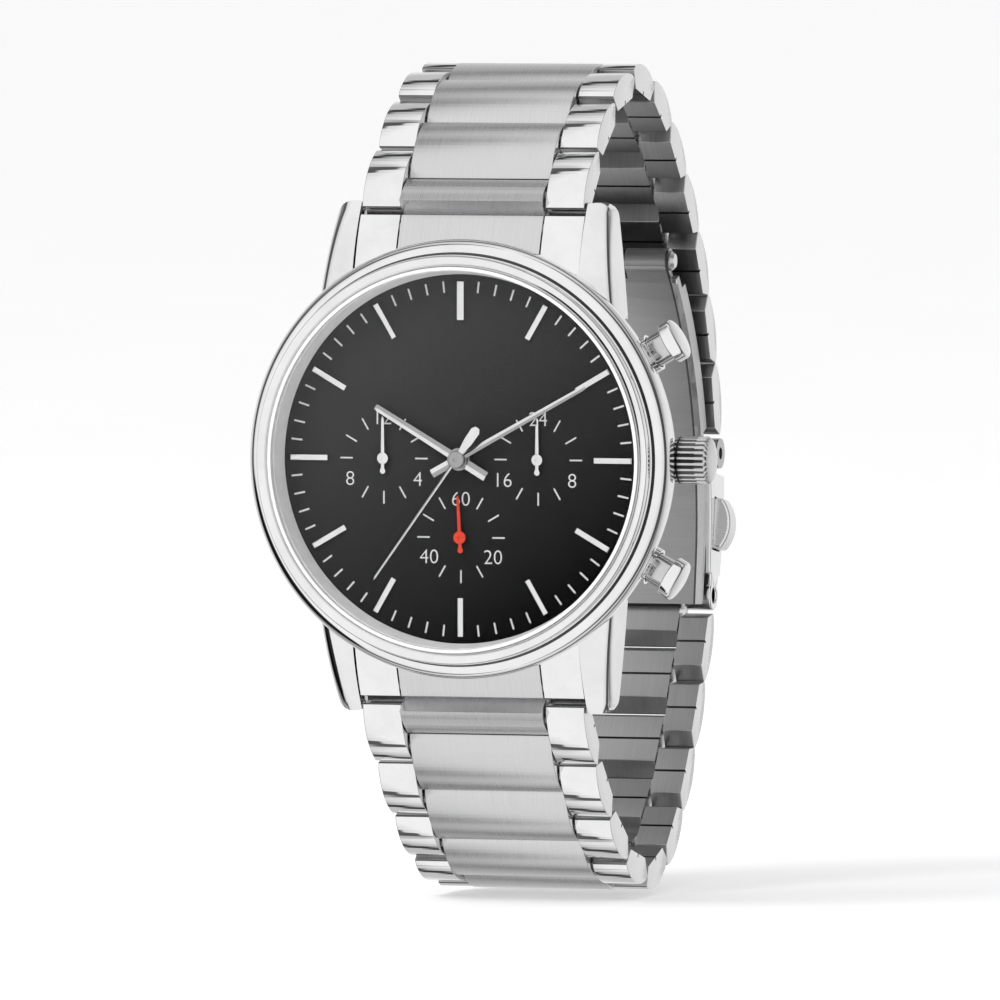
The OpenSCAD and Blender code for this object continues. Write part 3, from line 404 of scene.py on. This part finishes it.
def buildCase():
    bm = copyNode("case_middle")
    tips = [v for v in bm.verts if abs(v.co.z) > caseSizes["tipStart"] * mm]   # small facets of the lug tips
    bmesh.ops.remove_doubles(bm, verts=tips, dist=caseSizes["tipMerge"] * mm)
    bmesh.ops.dissolve_degenerate(bm, edges=bm.edges, dist=1e-7)
    body = makePiece("caseMiddle", bm, "watch_head", [finish["lug"]], ["case_middle"], 24)
    softenPiece(body, caseSizes["edge"])
    for node in ("end_link_12", "end_link_6"):
        bm = copyNode(node)
        for face in bm.faces:
            middle = face.calc_center_median()
            face.material_index = 1 if abs(middle.x) < caseSizes["endCentre"] * mm else 0
        piece = makePiece("endLink" + node[8:], bm, "watch_head",
                          [finish["polished"], finish["brushed"]], [node], 24)
        softenPiece(piece, caseSizes["endEdge"])


buildCase()
print("case and end links built")


# bracelet

braceletSizes = {"pitch": 7.2, "band": 10.9, "taper": 0.12, "centre": 6.9, "outer": 7.05, "length": 7.16, "top": 1.45,
                 "bottom": 1.35, "arc": 7.0, "crest": 3.13, "nose": 0.3, "slope": 1.1, "edge": 0.15, "slitHalf": 0.12,
                 "slitTop": -1.0, "sideEdge": 0.22, "centreEdge": 0.12, "pin": 0.5, "hingeY": -1.7, "hingeZ": 24.4,
                 "outerShift": 0.25, "centreShift": 0.75, "pinShifts": (0.5, 1.0)}
linkTurns = {"12": (46, 34, 13, -15, -35, -45, -52, -60, -68, -77), "6": (-51, -44, -33, -13, 18, 43, 54, 59, 63)}


def linkOutline():
    s = braceletSizes
    half = s["length"] / 2
    reach = math.degrees(math.asin(s["crest"] / s["arc"]))
    top = curve(0, s["top"] - s["arc"], s["arc"], s["arc"], 90 - reach, 90 + reach, 16)
    under = [(-half, s["nose"]), (-half, s["edge"]), (-half + s["slope"], -s["bottom"]),
             (-s["slitHalf"], -s["bottom"]), (-s["slitHalf"], s["slitTop"])]
    return top + under + [(-a, b) for a, b in reversed(under)]


def linkPiece(low, high, sideEdge):
    s = braceletSizes
    bm = bmesh.new()
    pulledProfile(bm, linkOutline(), low, high)

    def atSide(vert):
        return min(abs(vert.co.z - low * mm), abs(vert.co.z - high * mm)) < 1e-6

    def atSlit(vert):
        return abs(vert.co.x) < 1.5 * s["slitHalf"] * mm and vert.co.y < 0

    def atCrest(vert):
        return abs(abs(vert.co.x) - s["crest"] * mm) < 1e-6 and vert.co.y > 0

    rim = [e for e in bm.edges if all(atSide(v) for v in e.verts) and not any(atSlit(v) for v in e.verts)]
    for edge in bm.edges:
        edge.seam = all(atCrest(v) for v in edge.verts)   # the fold line stays crisp
    softenEdges(bm, rim, sideEdge, 3)
    return bm


def buildLink(side, index, hinge, turn):
    s = braceletSizes
    sign = 1 if side == "12" else -1
    along = Vector((0, math.cos(turn), math.sin(turn)))
    outward = Vector((0, -math.sin(turn), math.cos(turn))) * sign
    place = Matrix(((0, 0, 1, 0), (along.y, outward.y, 0, hinge[0] * mm), (along.z, outward.z, 0, hinge[1] * mm),
                    (0, 0, 0, 1)))
    link = bmesh.new()
    band = s["band"] - s["taper"] * index
    for low, high, shift, base, edge in ((s["outer"], band, s["outerShift"], 0, s["sideEdge"]),
                                         (-band, -s["outer"], s["outerShift"], 0, s["sideEdge"]),
                                         (-s["centre"], s["centre"], s["centreShift"], 2, s["centreEdge"])):
        bm = linkPiece(low, high, edge)
        bm.normal_update()
        bmesh.ops.recalc_face_normals(bm, faces=bm.faces)
        for face in bm.faces:
            if face.normal.y < -0.3:
                face.material_index = 3   # wrist side, brushed and in painted shade
            elif abs(face.normal.z) > 0.85:
                face.material_index = 1   # flanks
            elif abs(face.normal.x) > 0.8:
                face.material_index = 4   # end noses, in painted shade that stands in for the shadow in the gaps between links
            else:
                face.material_index = base
        joinInto(link, bm, Matrix.Translation((shift * s["pitch"] * mm, 0, 0)))
    for shift in s["pinShifts"]:
        pin = bmesh.new()
        bmesh.ops.create_cone(pin, cap_ends=True, segments=20, radius1=s["pin"] * mm, radius2=s["pin"] * mm,
                              depth=2 * s["outer"] * mm)
        for face in pin.faces:
            face.material_index = 1
        joinInto(link, pin, Matrix.Translation((shift * s["pitch"] * mm, 0, 0)))
    bmesh.ops.transform(link, matrix=place, verts=link.verts)
    name = "link_%s_%d" % (side, index)
    makePiece("steelLink_%s_%d" % (side, index), link, name,
              [finish["polished"], finish["satin"], finish["brushed"], finish["inner"], finish["paintedShade"]], [name], 30)


def buildBracelet():
    s = braceletSizes
    for side, start in (("12", s["hingeZ"]), ("6", -s["hingeZ"])):
        hinge = [s["hingeY"], start]
        for index, degrees in enumerate(linkTurns[side], 1):
            turn = math.radians(degrees)
            buildLink(side, index, hinge, turn)
            hinge = [hinge[0] + s["pitch"] * math.cos(turn), hinge[1] + s["pitch"] * math.sin(turn)]


buildBracelet()
print("bracelet built:", sum(len(t) for t in linkTurns.values()), "links")


# crown and pushers

crownSizes = {"start": 19.95, "end": 23.55, "radius": 2.25, "cavity": 1.32, "cavityRoof": 0.95, "flutes": 24,
              "fluteDepth": 0.26, "fluteShape": 1.4, "axisHeight": 3.7, "stem": 0.45, "stemLength": 9.5,
              "stemMiddle": 18.0}
pusherSizes = {"angle": 29.5, "axisHeight": 3.3, "stem": 1.5, "stemEdge": 0.1, "stemIn": 17.9, "capIn": 21.95,
               "capOut": 23.3, "cap": 2.0, "capEdge": 0.14, "capRound": (0.5, 0.42), "steps": 72}


def buildCrown():
    s = crownSizes
    start, end, radius = s["start"], s["end"], s["radius"]
    roof = end - s["cavityRoof"]
    bm = turnedPart(
        [(0, roof), (s["cavity"], roof), (s["cavity"], start), (radius - 0.25, start), (radius - 0.08, start + 0.06),
         (radius, start + 0.2), (radius, start + 0.42), (radius - 0.2, start + 0.46), (radius - 0.2, start + 0.58),
         (radius, start + 0.62), (radius, start + 1.2), (radius, start + 2.2), (radius, end - 0.62),
         (radius - 0.04, end - 0.5), (radius - 0.3, end - 0.26), (radius - 0.7, end - 0.1), (radius - 1.3, end - 0.02),
         (0, end)], s["flutes"] * 10, False)
    for vert in bm.verts:
        reach = math.hypot(vert.co.x, vert.co.y)
        if reach > (radius - 0.32) * mm:
            wave = 0.5 + 0.5 * math.cos(s["flutes"] * math.atan2(vert.co.y, vert.co.x))
            fade = max(0.0, min(1.0, (end - 0.3 - vert.co.z / mm) / 0.35))
            scale = 1 - s["fluteDepth"] * mm * fade * wave ** s["fluteShape"] / reach
            vert.co.x *= scale
            vert.co.y *= scale
    for face in bm.faces:
        middle = face.calc_center_median()
        reach = math.hypot(middle.x, middle.y)
        if start + 0.1 < middle.z / mm < end - 0.4 and (radius - 0.6) * mm < reach < (radius - 0.1) * mm:
            face.material_index = 1   # floor of a flute, in painted shade
    stem = bmesh.new()
    bmesh.ops.create_cone(stem, cap_ends=True, segments=32, radius1=s["stem"] * mm, radius2=s["stem"] * mm,
                          depth=s["stemLength"] * mm)
    joinInto(bm, stem, Matrix.Translation((0, 0, s["stemMiddle"] * mm)))
    bmesh.ops.transform(bm, matrix=headTurn @ Matrix.Translation((0, 0, s["axisHeight"] * mm))
                        @ Matrix.Rotation(math.pi / 2, 4, "Y"), verts=bm.verts)
    # the crown body takes the darker polished steel as painted shade, and the flute floors are darker still
    makePiece("flutedCrown", bm, "crown", [finish["crown"], finish["paintedShade"]], ["crown"], 40)


def buildPusher(name, node, angle):
    s = pusherSizes
    stem, stemIn, cap, capIn, capOut, edge = (s[k] for k in ("stem", "stemIn", "cap", "capIn", "capOut", "capEdge"))
    across, along = s["capRound"]
    bm = turnedPart(
        [(0, stemIn), (stem - s["stemEdge"], stemIn), (stem, stemIn + s["stemEdge"]), (stem, capIn),
         (cap - edge, capIn)]
        + curve(cap - edge, capIn + edge, edge, edge, -75, 0, 4) + [(cap, capOut - 0.62)]
        + curve(cap - across, capOut - 0.5, across, along, 0, 78, 8)
        + [(1.2, capOut + 0.02), (0.6, capOut + 0.07), (0, capOut + 0.09)], s["steps"], False)
    for face in bm.faces:
        middle = face.calc_center_median()
        if middle.z < capIn * mm and math.hypot(middle.x, middle.y) > (stem - s["stemEdge"]) * mm:
            face.material_index = 1   # neck under the cap, in painted shade
    bmesh.ops.transform(bm, matrix=headTurn @ Matrix.Rotation(math.radians(angle), 4, "Z")
                        @ Matrix.Translation((0, 0, s["axisHeight"] * mm)) @ Matrix.Rotation(math.pi / 2, 4, "Y"),
                        verts=bm.verts)
    makePiece(name, bm, node, [finish["polished"], finish["crown"]], [node], 30)


buildCrown()
buildPusher("pusherTop", "pusher_top", pusherSizes["angle"])
buildPusher("pusherBottom", "pusher_bottom", -pusherSizes["angle"])
print("crown and pushers built")


# dial print, markers and hands

dialSizes = {"height": 7.0, "printHeight": 0.012, "tickIn": 15.55, "tickOut": 16.6, "tickWidth": 0.17,
             "markerIn": 12.9, "markerOut": 16.6, "markerWidth": 0.6, "markerHeight": 0.28, "markerEdge": 0.13,
             "topMarker": 1.25, "subTickIn": 3.05, "subTickOut": 4.25, "subTickWidth": 0.14,
             "numeralHeight": 1.3, "numeralNarrow": 0.99, "numeralThin": -0.012, "numeralRaise": 0.006}
subDials = {"hourCounter": ((-7.5, 0.0), ("12", "4", "8"), 3.8), "dayCounter": ((7.5, 0.0), ("24", "8", "16"), 3.8),
            "minuteCounter": ((0.0, -7.3), ("60", "20", "40"), 3.6)}


def addTick(bm, centre, degrees, inner, outer, width, height):
    # a thin bar on the dial, at an angle from 12 o'clock
    size = Matrix.Diagonal((width * mm, (outer - inner) * mm, height * mm, 1))
    place = (Matrix.Translation((centre[0] * mm, centre[1] * mm, dialSizes["height"] * mm))
             @ Matrix.Rotation(-math.radians(degrees), 4, "Z")
             @ Matrix.Translation((0, 0.5 * (inner + outer) * mm, 0.5 * height * mm)))
    bmesh.ops.create_cube(bm, size=1.0, matrix=place @ size)


def addNumeral(bm, words, centre, reach, degrees):
    s = dialSizes
    pull = 0.004   # thickness while the numeral is one unit high
    text = bpy.data.curves.new("numeral", "FONT")
    text.body = words
    text.align_x = "CENTER"
    text.size = 1.0
    text.extrude = pull
    text.offset = s["numeralThin"]
    text.resolution_u = 4
    holder = bpy.data.objects.new("numeral", text)
    bpy.context.scene.collection.objects.link(holder)
    bpy.context.view_layer.update()
    mesh = bpy.data.meshes.new_from_object(holder.evaluated_get(bpy.context.evaluated_depsgraph_get()))
    bpy.data.objects.remove(holder)
    bpy.data.curves.remove(text)
    part = bmesh.new()
    part.from_mesh(mesh)
    bpy.data.meshes.remove(mesh)
    bmesh.ops.remove_doubles(part, verts=part.verts, dist=1e-5)
    across = [v.co.x for v in part.verts]
    upward = [v.co.y for v in part.verts]
    scale = s["numeralHeight"] * mm / (max(upward) - min(upward))
    turn = math.radians(degrees)
    spot = (centre[0] + reach * math.sin(turn), centre[1] + reach * math.cos(turn))
    place = (Matrix.Translation((spot[0] * mm, spot[1] * mm, (s["height"] + s["numeralRaise"]) * mm))
             @ Matrix.Diagonal((scale * s["numeralNarrow"], scale, s["numeralRaise"] * mm / pull, 1))
             @ Matrix.Translation((-0.5 * (max(across) + min(across)), -0.5 * (max(upward) + min(upward)), 0)))
    joinInto(bm, part, place)


def buildDialPrint():
    s = dialSizes
    bm = bmesh.new()
    for minute in range(60):
        if minute % 5:
            addTick(bm, (0, 0), 6 * minute, s["tickIn"], s["tickOut"], s["tickWidth"], s["printHeight"])
    for centre, numerals, reach in subDials.values():
        for hour in range(12):
            if hour % 4:
                addTick(bm, centre, 30 * hour, s["subTickIn"], s["subTickOut"], s["subTickWidth"], s["printHeight"])
        for index, words in enumerate(numerals):
            addNumeral(bm, words, centre, reach, 120 * index)
    bmesh.ops.transform(bm, matrix=headTurn, verts=bm.verts)
    makePiece("dialPrint", bm, "watch_head", [finish["print"]])


def buildMarkers():
    s = dialSizes
    bm = bmesh.new()
    for hour in range(12):
        bar = bmesh.new()
        width = s["markerWidth"] * (s["topMarker"] if hour == 0 else 1.0)
        addTick(bar, (0, 0), 30 * hour, s["markerIn"], s["markerOut"], width, s["markerHeight"])
        top = [e for e in bar.edges if all(v.co.z > (s["height"] + 0.5 * s["markerHeight"]) * mm for v in e.verts)]
        softenEdges(bar, top, s["markerEdge"], 2)
        joinInto(bm, bar)
    bmesh.ops.transform(bm, matrix=headTurn, verts=bm.verts)
    makePiece("hourMarkers", bm, "watch_head", [finish["marker"]], ["hour_markers"], 20)


def pulledHand(stations, thick, ridge):
    # section of five points, pulled along y from the tail to the tip
    bm = bmesh.new()
    y, width = stations[0]
    shape = ((-0.5, 0), (0.5, 0), (0.5, thick * (1 - ridge)), (0, thick), (-0.5, thick * (1 - ridge)))
    ring = [bm.verts.new((a * width * mm, y * mm, b * mm)) for a, b in shape]
    face = bm.faces.new(ring)
    keep = True
    for nextY, nextWidth in stations[1:]:
        pulled = bmesh.ops.extrude_face_region(bm, geom=[face], use_keep_orig=keep)
        keep = False
        moved = [g for g in pulled["geom"] if isinstance(g, bmesh.types.BMVert)]
        face = next(g for g in pulled["geom"] if isinstance(g, bmesh.types.BMFace))
        bmesh.ops.scale(bm, vec=(nextWidth / width, 1, 1), verts=moved)
        bmesh.ops.translate(bm, vec=(0, (nextY - y) * mm, 0), verts=moved)
        y, width = nextY, nextWidth
    bmesh.ops.recalc_face_normals(bm, faces=bm.faces)
    return bm


handSizes = {
    "hour": {"angle": 300.8, "height": 7.75, "thick": 0.2, "ridge": 0.62, "shade": 1,
             "stations": ((-3.1, 0.9), (-0.6, 0.9), (-0.2, 0.78), (9.2, 0.6), (9.4, 0.5)),
             "hub": ((0.56, 0.0), (1.05, 0.0), (1.05, 0.11), (1.0, 0.14), (0.75, 0.14), (0.75, 0.2), (0.56, 0.2)),
             "tube": (0.56, 0.75, 4.8)},
    "minute": {"angle": 61.0, "height": 8.17, "thick": 0.2, "ridge": 0.62, "shade": 1,
               "stations": ((-2.8, 0.8), (-0.6, 0.8), (-0.2, 0.58), (14.0, 0.42), (14.2, 0.34)),
               "hub": ((0.28, 0.0), (0.9, 0.0), (0.9, 0.11), (0.85, 0.14), (0.46, 0.14), (0.46, 0.2), (0.28, 0.2)),
               "tube": (0.28, 0.46, 3.6)},
    "seconds": {"angle": 215.5, "height": 8.59, "thick": 0.16, "ridge": 0.62, "shade": 0,
                "stations": ((-0.5, 0.26), (0, 0.26), (13.6, 0.18), (13.8, 0.1)),
                "tail": ((-3.67, 0.42), (-3.3, 0.92), (-2.0, 0.86), (-0.5, 0.4)), "tailRidge": 0.15,
                "hub": ((0.0, 0.0), (0.81, 0.0), (0.81, 0.2), (0.76, 0.27), (0.6, 0.34), (0.5, 0.36), (0.18, 0.36),
                        (0.15, 0.28), (0.0, 0.27)),
                "tube": (0.0, 0.2, 3.6)},
}
subHandSizes = {"height": 7.38, "thick": 0.14, "ridge": 0.4, "hub": 0.54, "redHub": 0.59, "arbor": 0.2, "arborLow": 3.6,
                "stations": ((-1.45, 0.16), (-1.3, 0.5), (-1.1, 0.5), (-0.9, 0.3), (0, 0.34), (3.6, 0.24), (3.9, 0.1))}
arborTop = 0.05   # how far an arbor or tube runs up into its hub


def buildHand(name, body, key):
    s = handSizes[key]
    bm = pulledHand(s["stations"], s["thick"], s["ridge"])
    if "tail" in s:
        joinInto(bm, pulledHand(s["tail"], s["thick"], s["tailRidge"]))
    bm.normal_update()
    for face in bm.faces:
        if s["shade"] * face.normal.x > 0.1 and face.normal.z > 0.3:
            face.material_index = 1   # one facet gets painted shade, a darker satin copy of the hand steel
    solid = s["hub"][0][0] == 0.0
    hub = turnedPart(s["hub"], 48, not solid)
    for face in hub.faces:
        # the hub takes the same darker satin steel as the shaded facet
        face.material_index = 1
    joinInto(bm, hub)
    inner, outer, low = s["tube"]
    drop = low - s["height"]
    if solid:
        joinInto(bm, turnedPart([(0, drop), (outer, drop), (outer, arborTop), (0, arborTop)], 24, False))
    else:
        joinInto(bm, turnedPart([(inner, drop), (outer, drop), (outer, arborTop), (inner, arborTop)], 32))
    bmesh.ops.transform(bm, matrix=headTurn @ Matrix.Translation((0, 0, s["height"] * mm))
                        @ Matrix.Rotation(-math.radians(s["angle"]), 4, "Z"), verts=bm.verts)
    makePiece(name, bm, body, [finish["hand"], finish["handShade"]], [body], 20)


def buildSubHand(name, body, counter, angle, hub, mat):
    s = subHandSizes
    drop, radius = s["arborLow"] - s["height"], s["arbor"]
    bm = pulledHand(s["stations"], s["thick"], s["ridge"])
    joinInto(bm, turnedPart([(0, 0), (hub, 0), (hub, 0.15), (hub - 0.06, 0.2), (0.2, 0.2), (0.17, 0.1), (0, 0.1)],
                            40, False))
    joinInto(bm, turnedPart([(0, drop), (radius, drop), (radius, arborTop), (0, arborTop)], 20, False))
    centre = subDials[counter][0]
    bmesh.ops.transform(bm, matrix=headTurn @ Matrix.Translation((centre[0] * mm, centre[1] * mm, s["height"] * mm))
                        @ Matrix.Rotation(-math.radians(angle), 4, "Z"), verts=bm.verts)
    makePiece(name, bm, body, [mat], [body], 20)


buildDialPrint()
buildMarkers()
buildHand("hourHand", "hour_hand", "hour")
buildHand("minuteHand", "minute_hand", "minute")
buildHand("secondsHand", "seconds_hand", "seconds")
buildSubHand("hourCounterHand", "hour_counter_hand", "hourCounter", 0, subHandSizes["hub"],
             finish["hand"])
buildSubHand("dayHand", "day_hand", "dayCounter", 0, subHandSizes["hub"], finish["hand"])
buildSubHand("minuteCounterHand", "minute_counter_hand", "minuteCounter", 357, subHandSizes["redHub"],
             finish["handRed"])
print("dial print, markers and hands built")


# clasp

claspSizes = {"armEdge": 0.1, "plateEdge": 0.06, "coverEdge": 0.15, "buttonEdge": 0.4, "plateEnd": -12.2,
              "innerEnd": (41.62, -15.7), "outerEnd": (42.2, -15.62), "plateSplit": 42.5, "rimIn": 8.4, "rimOut": 8.6,
              "rimDepth": 0.2}


def dressPlate(bm):
    # longer lower end, and a groove inside each rim on the wrist side, with painted shade on its floor
    s = claspSizes
    for vert in bm.verts:
        if vert.co.z < s["plateEnd"] * mm:
            end = s["innerEnd"] if vert.co.y < s["plateSplit"] * mm else s["outerEnd"]
            vert.co.y, vert.co.z = end[0] * mm, end[1] * mm
    for spot in (s["rimIn"], s["rimOut"], -s["rimIn"], -s["rimOut"]):
        bmesh.ops.bisect_plane(bm, geom=bm.verts[:] + bm.edges[:] + bm.faces[:], dist=1e-7,
                               plane_co=(spot * mm, 0, 0), plane_no=(1, 0, 0))
    bmesh.ops.recalc_face_normals(bm, faces=bm.faces)
    floors = []
    for face in bm.faces:
        reach = abs(face.calc_center_median().x) / mm
        if face.normal.y < -0.5 and reach > s["rimIn"]:
            face.material_index = 2   # rim
            if reach < s["rimOut"]:
                face.material_index = 1   # groove floor, in painted shade
                floors.append(face)
    pushed = bmesh.ops.extrude_face_region(bm, geom=floors)
    moved = [g for g in pushed["geom"] if isinstance(g, bmesh.types.BMVert)]
    bmesh.ops.translate(bm, verts=moved, vec=(0, s["rimDepth"] * mm, 0))
    return bm


def buildClasp():
    s = claspSizes
    steel = finish["plate"]
    for name, bm, body, slotName, mats, node, edge in (
            ("claspArm", copyNode("clasp_arm"), "clasp_arm", "satin_steel", [steel], "clasp_arm", s["armEdge"]),
            ("claspPlate", dressPlate(copyNode("clasp_plate")), "clasp_base", "satin_steel",
             [steel, finish["paintedShade"], finish["lug"]], "clasp_plate", s["plateEdge"]),
            ("claspCover", copyNode("clasp_cover"), "clasp_base", "polished_steel", [finish["polished"]], "clasp_cover",
             s["coverEdge"])):
        softenPiece(makePiece(name, bm, body, mats, [node], 24), edge)
    for side in ("right", "left"):
        node = "clasp_button_" + side
        piece = makePiece("claspButton" + side.capitalize(), copyNode(node), node, [finish["satin"]],
                          [node], 24)
        softenPiece(piece, s["buttonEdge"], 4)


buildClasp()
print("clasp built")


# finishes on the nodes that stay as they are

nodeFinishes = {"case_back": "satin", "back_gasket": "gasket", "movement_ring": "holder", "movement": "brass",
                "battery": "cell", "dial": "dial", "crystal_gasket": "flange", "crown_seal": "gasket",
                "crown_tube": "satin", "pusher_tubes": "polished", "spring_bars": "satin", "clasp_pin": "satin"}
for node, key in nodeFinishes.items():
    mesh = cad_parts[node].data
    mesh.materials.clear()
    mesh.materials.append(finish[key])
print("node finishes set:", len(nodeFinishes))


# floor, light and camera

stageSizes = {"floorHeight": -0.0424, "floorSize": 40.0, "floorGlow": 0.3, "distance": 1.6, "azimuth": 16.8,
              "elevation": 2.5, "viewWidth": 0.09302, "shiftRight": 0.00363, "shiftDown": 0.00381, "sensor": 36.0,
              "clipEnd": 200.0}
softboxSizes = {"spot": (-0.5, -0.7, 0.75), "aim": (0, 0, 0), "size": (0.5, 0.5), "power": 5.0}


def buildFloor():
    s = stageSizes
    bm = bmesh.new()
    bmesh.ops.create_grid(bm, x_segments=2, y_segments=2, size=s["floorSize"] / 2,
                          matrix=Matrix.Translation((0, 0, s["floorHeight"])))
    mesh = bpy.data.meshes.new("studioFloor")
    bm.to_mesh(mesh)
    bm.free()
    paper = grainedSolid("floorPaper", (0.93, 0.93, 0.93), (0.96, 0.96, 0.96), (0.8, 0.9), 30.0)
    glow = next(n for n in paper.node_tree.nodes if n.type == "BSDF_PRINCIPLED")
    glow.inputs["Emission Color"].default_value = (1, 1, 1, 1)
    glow.inputs["Emission Strength"].default_value = s["floorGlow"]
    mesh.materials.append(paper)
    floor = bpy.data.objects.new("studioFloor", mesh)
    bpy.context.scene.collection.objects.link(floor)
    floor.visible_glossy = False   # the metal mirrors the studio's arch instead


def addRamp(tree, value, stops):
    node = tree.nodes.new("ShaderNodeValToRGB")
    ramp = node.color_ramp
    for index, (spot, level) in enumerate(stops):
        stop = ramp.elements[index] if index < 2 else ramp.elements.new(spot)
        stop.position = spot
        stop.color = (level, level, level, 1)
    tree.links.new(value, node.inputs["Fac"])
    return node.outputs["Color"]


def addAngle(tree, first, second):
    # angle of a direction as a share of a full turn
    node = tree.nodes.new("ShaderNodeMath")
    node.operation = "ARCTAN2"
    tree.links.new(first, node.inputs[0])
    tree.links.new(second, node.inputs[1])
    share = tree.nodes.new("ShaderNodeMapRange")
    share.inputs["From Min"].default_value = -math.pi
    share.inputs["From Max"].default_value = math.pi
    tree.links.new(node.outputs[0], share.inputs["Value"])
    return share.outputs[0]


worldSizes = {"strength": 1.0, "flag": (-0.88, -0.15, -0.45), "flagEdge": (0.92, 0.94), "flagLevel": 0.03,
              "arch": ((0.0, 0.92), (1.0, 0.92), (0.05, 0.85), (0.10, 0.6), (0.145, 0.6), (0.152, 0.06), (0.168, 0.05),
                       (0.175, 0.5), (0.21, 0.9), (0.24, 1.0), (0.5, 1.0), (0.77, 1.0), (0.79, 0.9), (0.825, 0.5),
                       (0.832, 0.05), (0.848, 0.06), (0.855, 0.6), (0.90, 0.6), (0.95, 0.85)),
              "sides": ((0.0, 1.0), (1.0, 1.0), (0.17, 0.95), (0.215, 0.45), (0.225, 0.12), (0.275, 0.10), (0.285, 0.8),
                        (0.36, 1.0), (0.64, 1.0), (0.715, 0.8), (0.725, 0.10), (0.775, 0.08), (0.785, 0.6),
                        (0.86, 0.95))}


def buildWorld():
    world = bpy.data.worlds.new("studio")
    bpy.context.scene.world = world
    world.use_nodes = True
    tree = world.node_tree
    back = next(n for n in tree.nodes if n.type == "BACKGROUND")
    coords = tree.nodes.new("ShaderNodeTexCoord")
    split = tree.nodes.new("ShaderNodeSeparateXYZ")
    tree.links.new(coords.outputs["Generated"], split.inputs[0])
    front = tree.nodes.new("ShaderNodeMath")
    front.operation = "MULTIPLY"
    front.inputs[1].default_value = -1.0
    tree.links.new(split.outputs["Y"], front.inputs[0])
    arch = addRamp(tree, addAngle(tree, split.outputs["Z"], front.outputs[0]), worldSizes["arch"])
    sides = addRamp(tree, addAngle(tree, split.outputs["X"], front.outputs[0]), worldSizes["sides"])
    mixed = tree.nodes.new("ShaderNodeMix")
    mixed.data_type = "RGBA"
    mixed.blend_type = "MULTIPLY"
    mixed.inputs[0].default_value = 1.0
    tree.links.new(arch, mixed.inputs[6])
    tree.links.new(sides, mixed.inputs[7])
    toward = tree.nodes.new("ShaderNodeVectorMath")
    toward.operation = "DOT_PRODUCT"
    toward.inputs[1].default_value = worldSizes["flag"]
    tree.links.new(coords.outputs["Generated"], toward.inputs[0])
    flag = tree.nodes.new("ShaderNodeMapRange")
    flag.inputs["From Min"].default_value, flag.inputs["From Max"].default_value = worldSizes["flagEdge"]
    flag.inputs["To Min"].default_value = worldSizes["strength"]
    flag.inputs["To Max"].default_value = worldSizes["flagLevel"]
    tree.links.new(toward.outputs["Value"], flag.inputs["Value"])
    path = tree.nodes.new("ShaderNodeLightPath")   # the backdrop itself stays white
    seen = tree.nodes.new("ShaderNodeMix")
    seen.data_type = "RGBA"
    seen.inputs[7].default_value = (1, 1, 1, 1)
    tree.links.new(path.outputs["Is Camera Ray"], seen.inputs[0])
    tree.links.new(mixed.outputs[2], seen.inputs[6])
    tree.links.new(seen.outputs[2], back.inputs["Color"])
    tree.links.new(flag.outputs[0], back.inputs["Strength"])   # a dark card low on the left


def addSoftbox(name):
    s = softboxSizes
    light = bpy.data.lights.new(name, "AREA")
    light.shape = "RECTANGLE"
    light.size, light.size_y = s["size"]
    light.energy = s["power"]
    lamp = bpy.data.objects.new(name, light)
    bpy.context.scene.collection.objects.link(lamp)
    lamp.visible_glossy = False
    lamp.location = s["spot"]
    lamp.rotation_euler = (Vector(s["aim"]) - Vector(s["spot"])).to_track_quat("-Z", "Y").to_euler()


def buildCamera():
    s = stageSizes
    az, el = math.radians(s["azimuth"]), math.radians(s["elevation"])
    toward = Vector((math.sin(az) * math.cos(el), -math.cos(az) * math.cos(el), math.sin(el)))
    right = Vector((math.cos(az), math.sin(az), 0))
    upward = toward.cross(right)
    aim = Vector((0, -dialSizes["height"] * mm, 0)) + right * s["shiftRight"] - upward * s["shiftDown"]
    lens = bpy.data.cameras.new("photoCamera")
    lens.sensor_width = s["sensor"]
    lens.lens = s["sensor"] * s["distance"] / s["viewWidth"]
    lens.clip_end = s["clipEnd"]
    camera = bpy.data.objects.new("photoCamera", lens)
    bpy.context.scene.collection.objects.link(camera)
    camera.location = aim + toward * s["distance"]
    camera.rotation_euler = (-toward).to_track_quat("-Z", "Y").to_euler()
    bpy.context.scene.camera = camera


buildFloor()
buildWorld()
addSoftbox("keyBox")
buildCamera()
bpy.context.scene.view_settings.view_transform = "Standard"
print("floor, light and camera set")
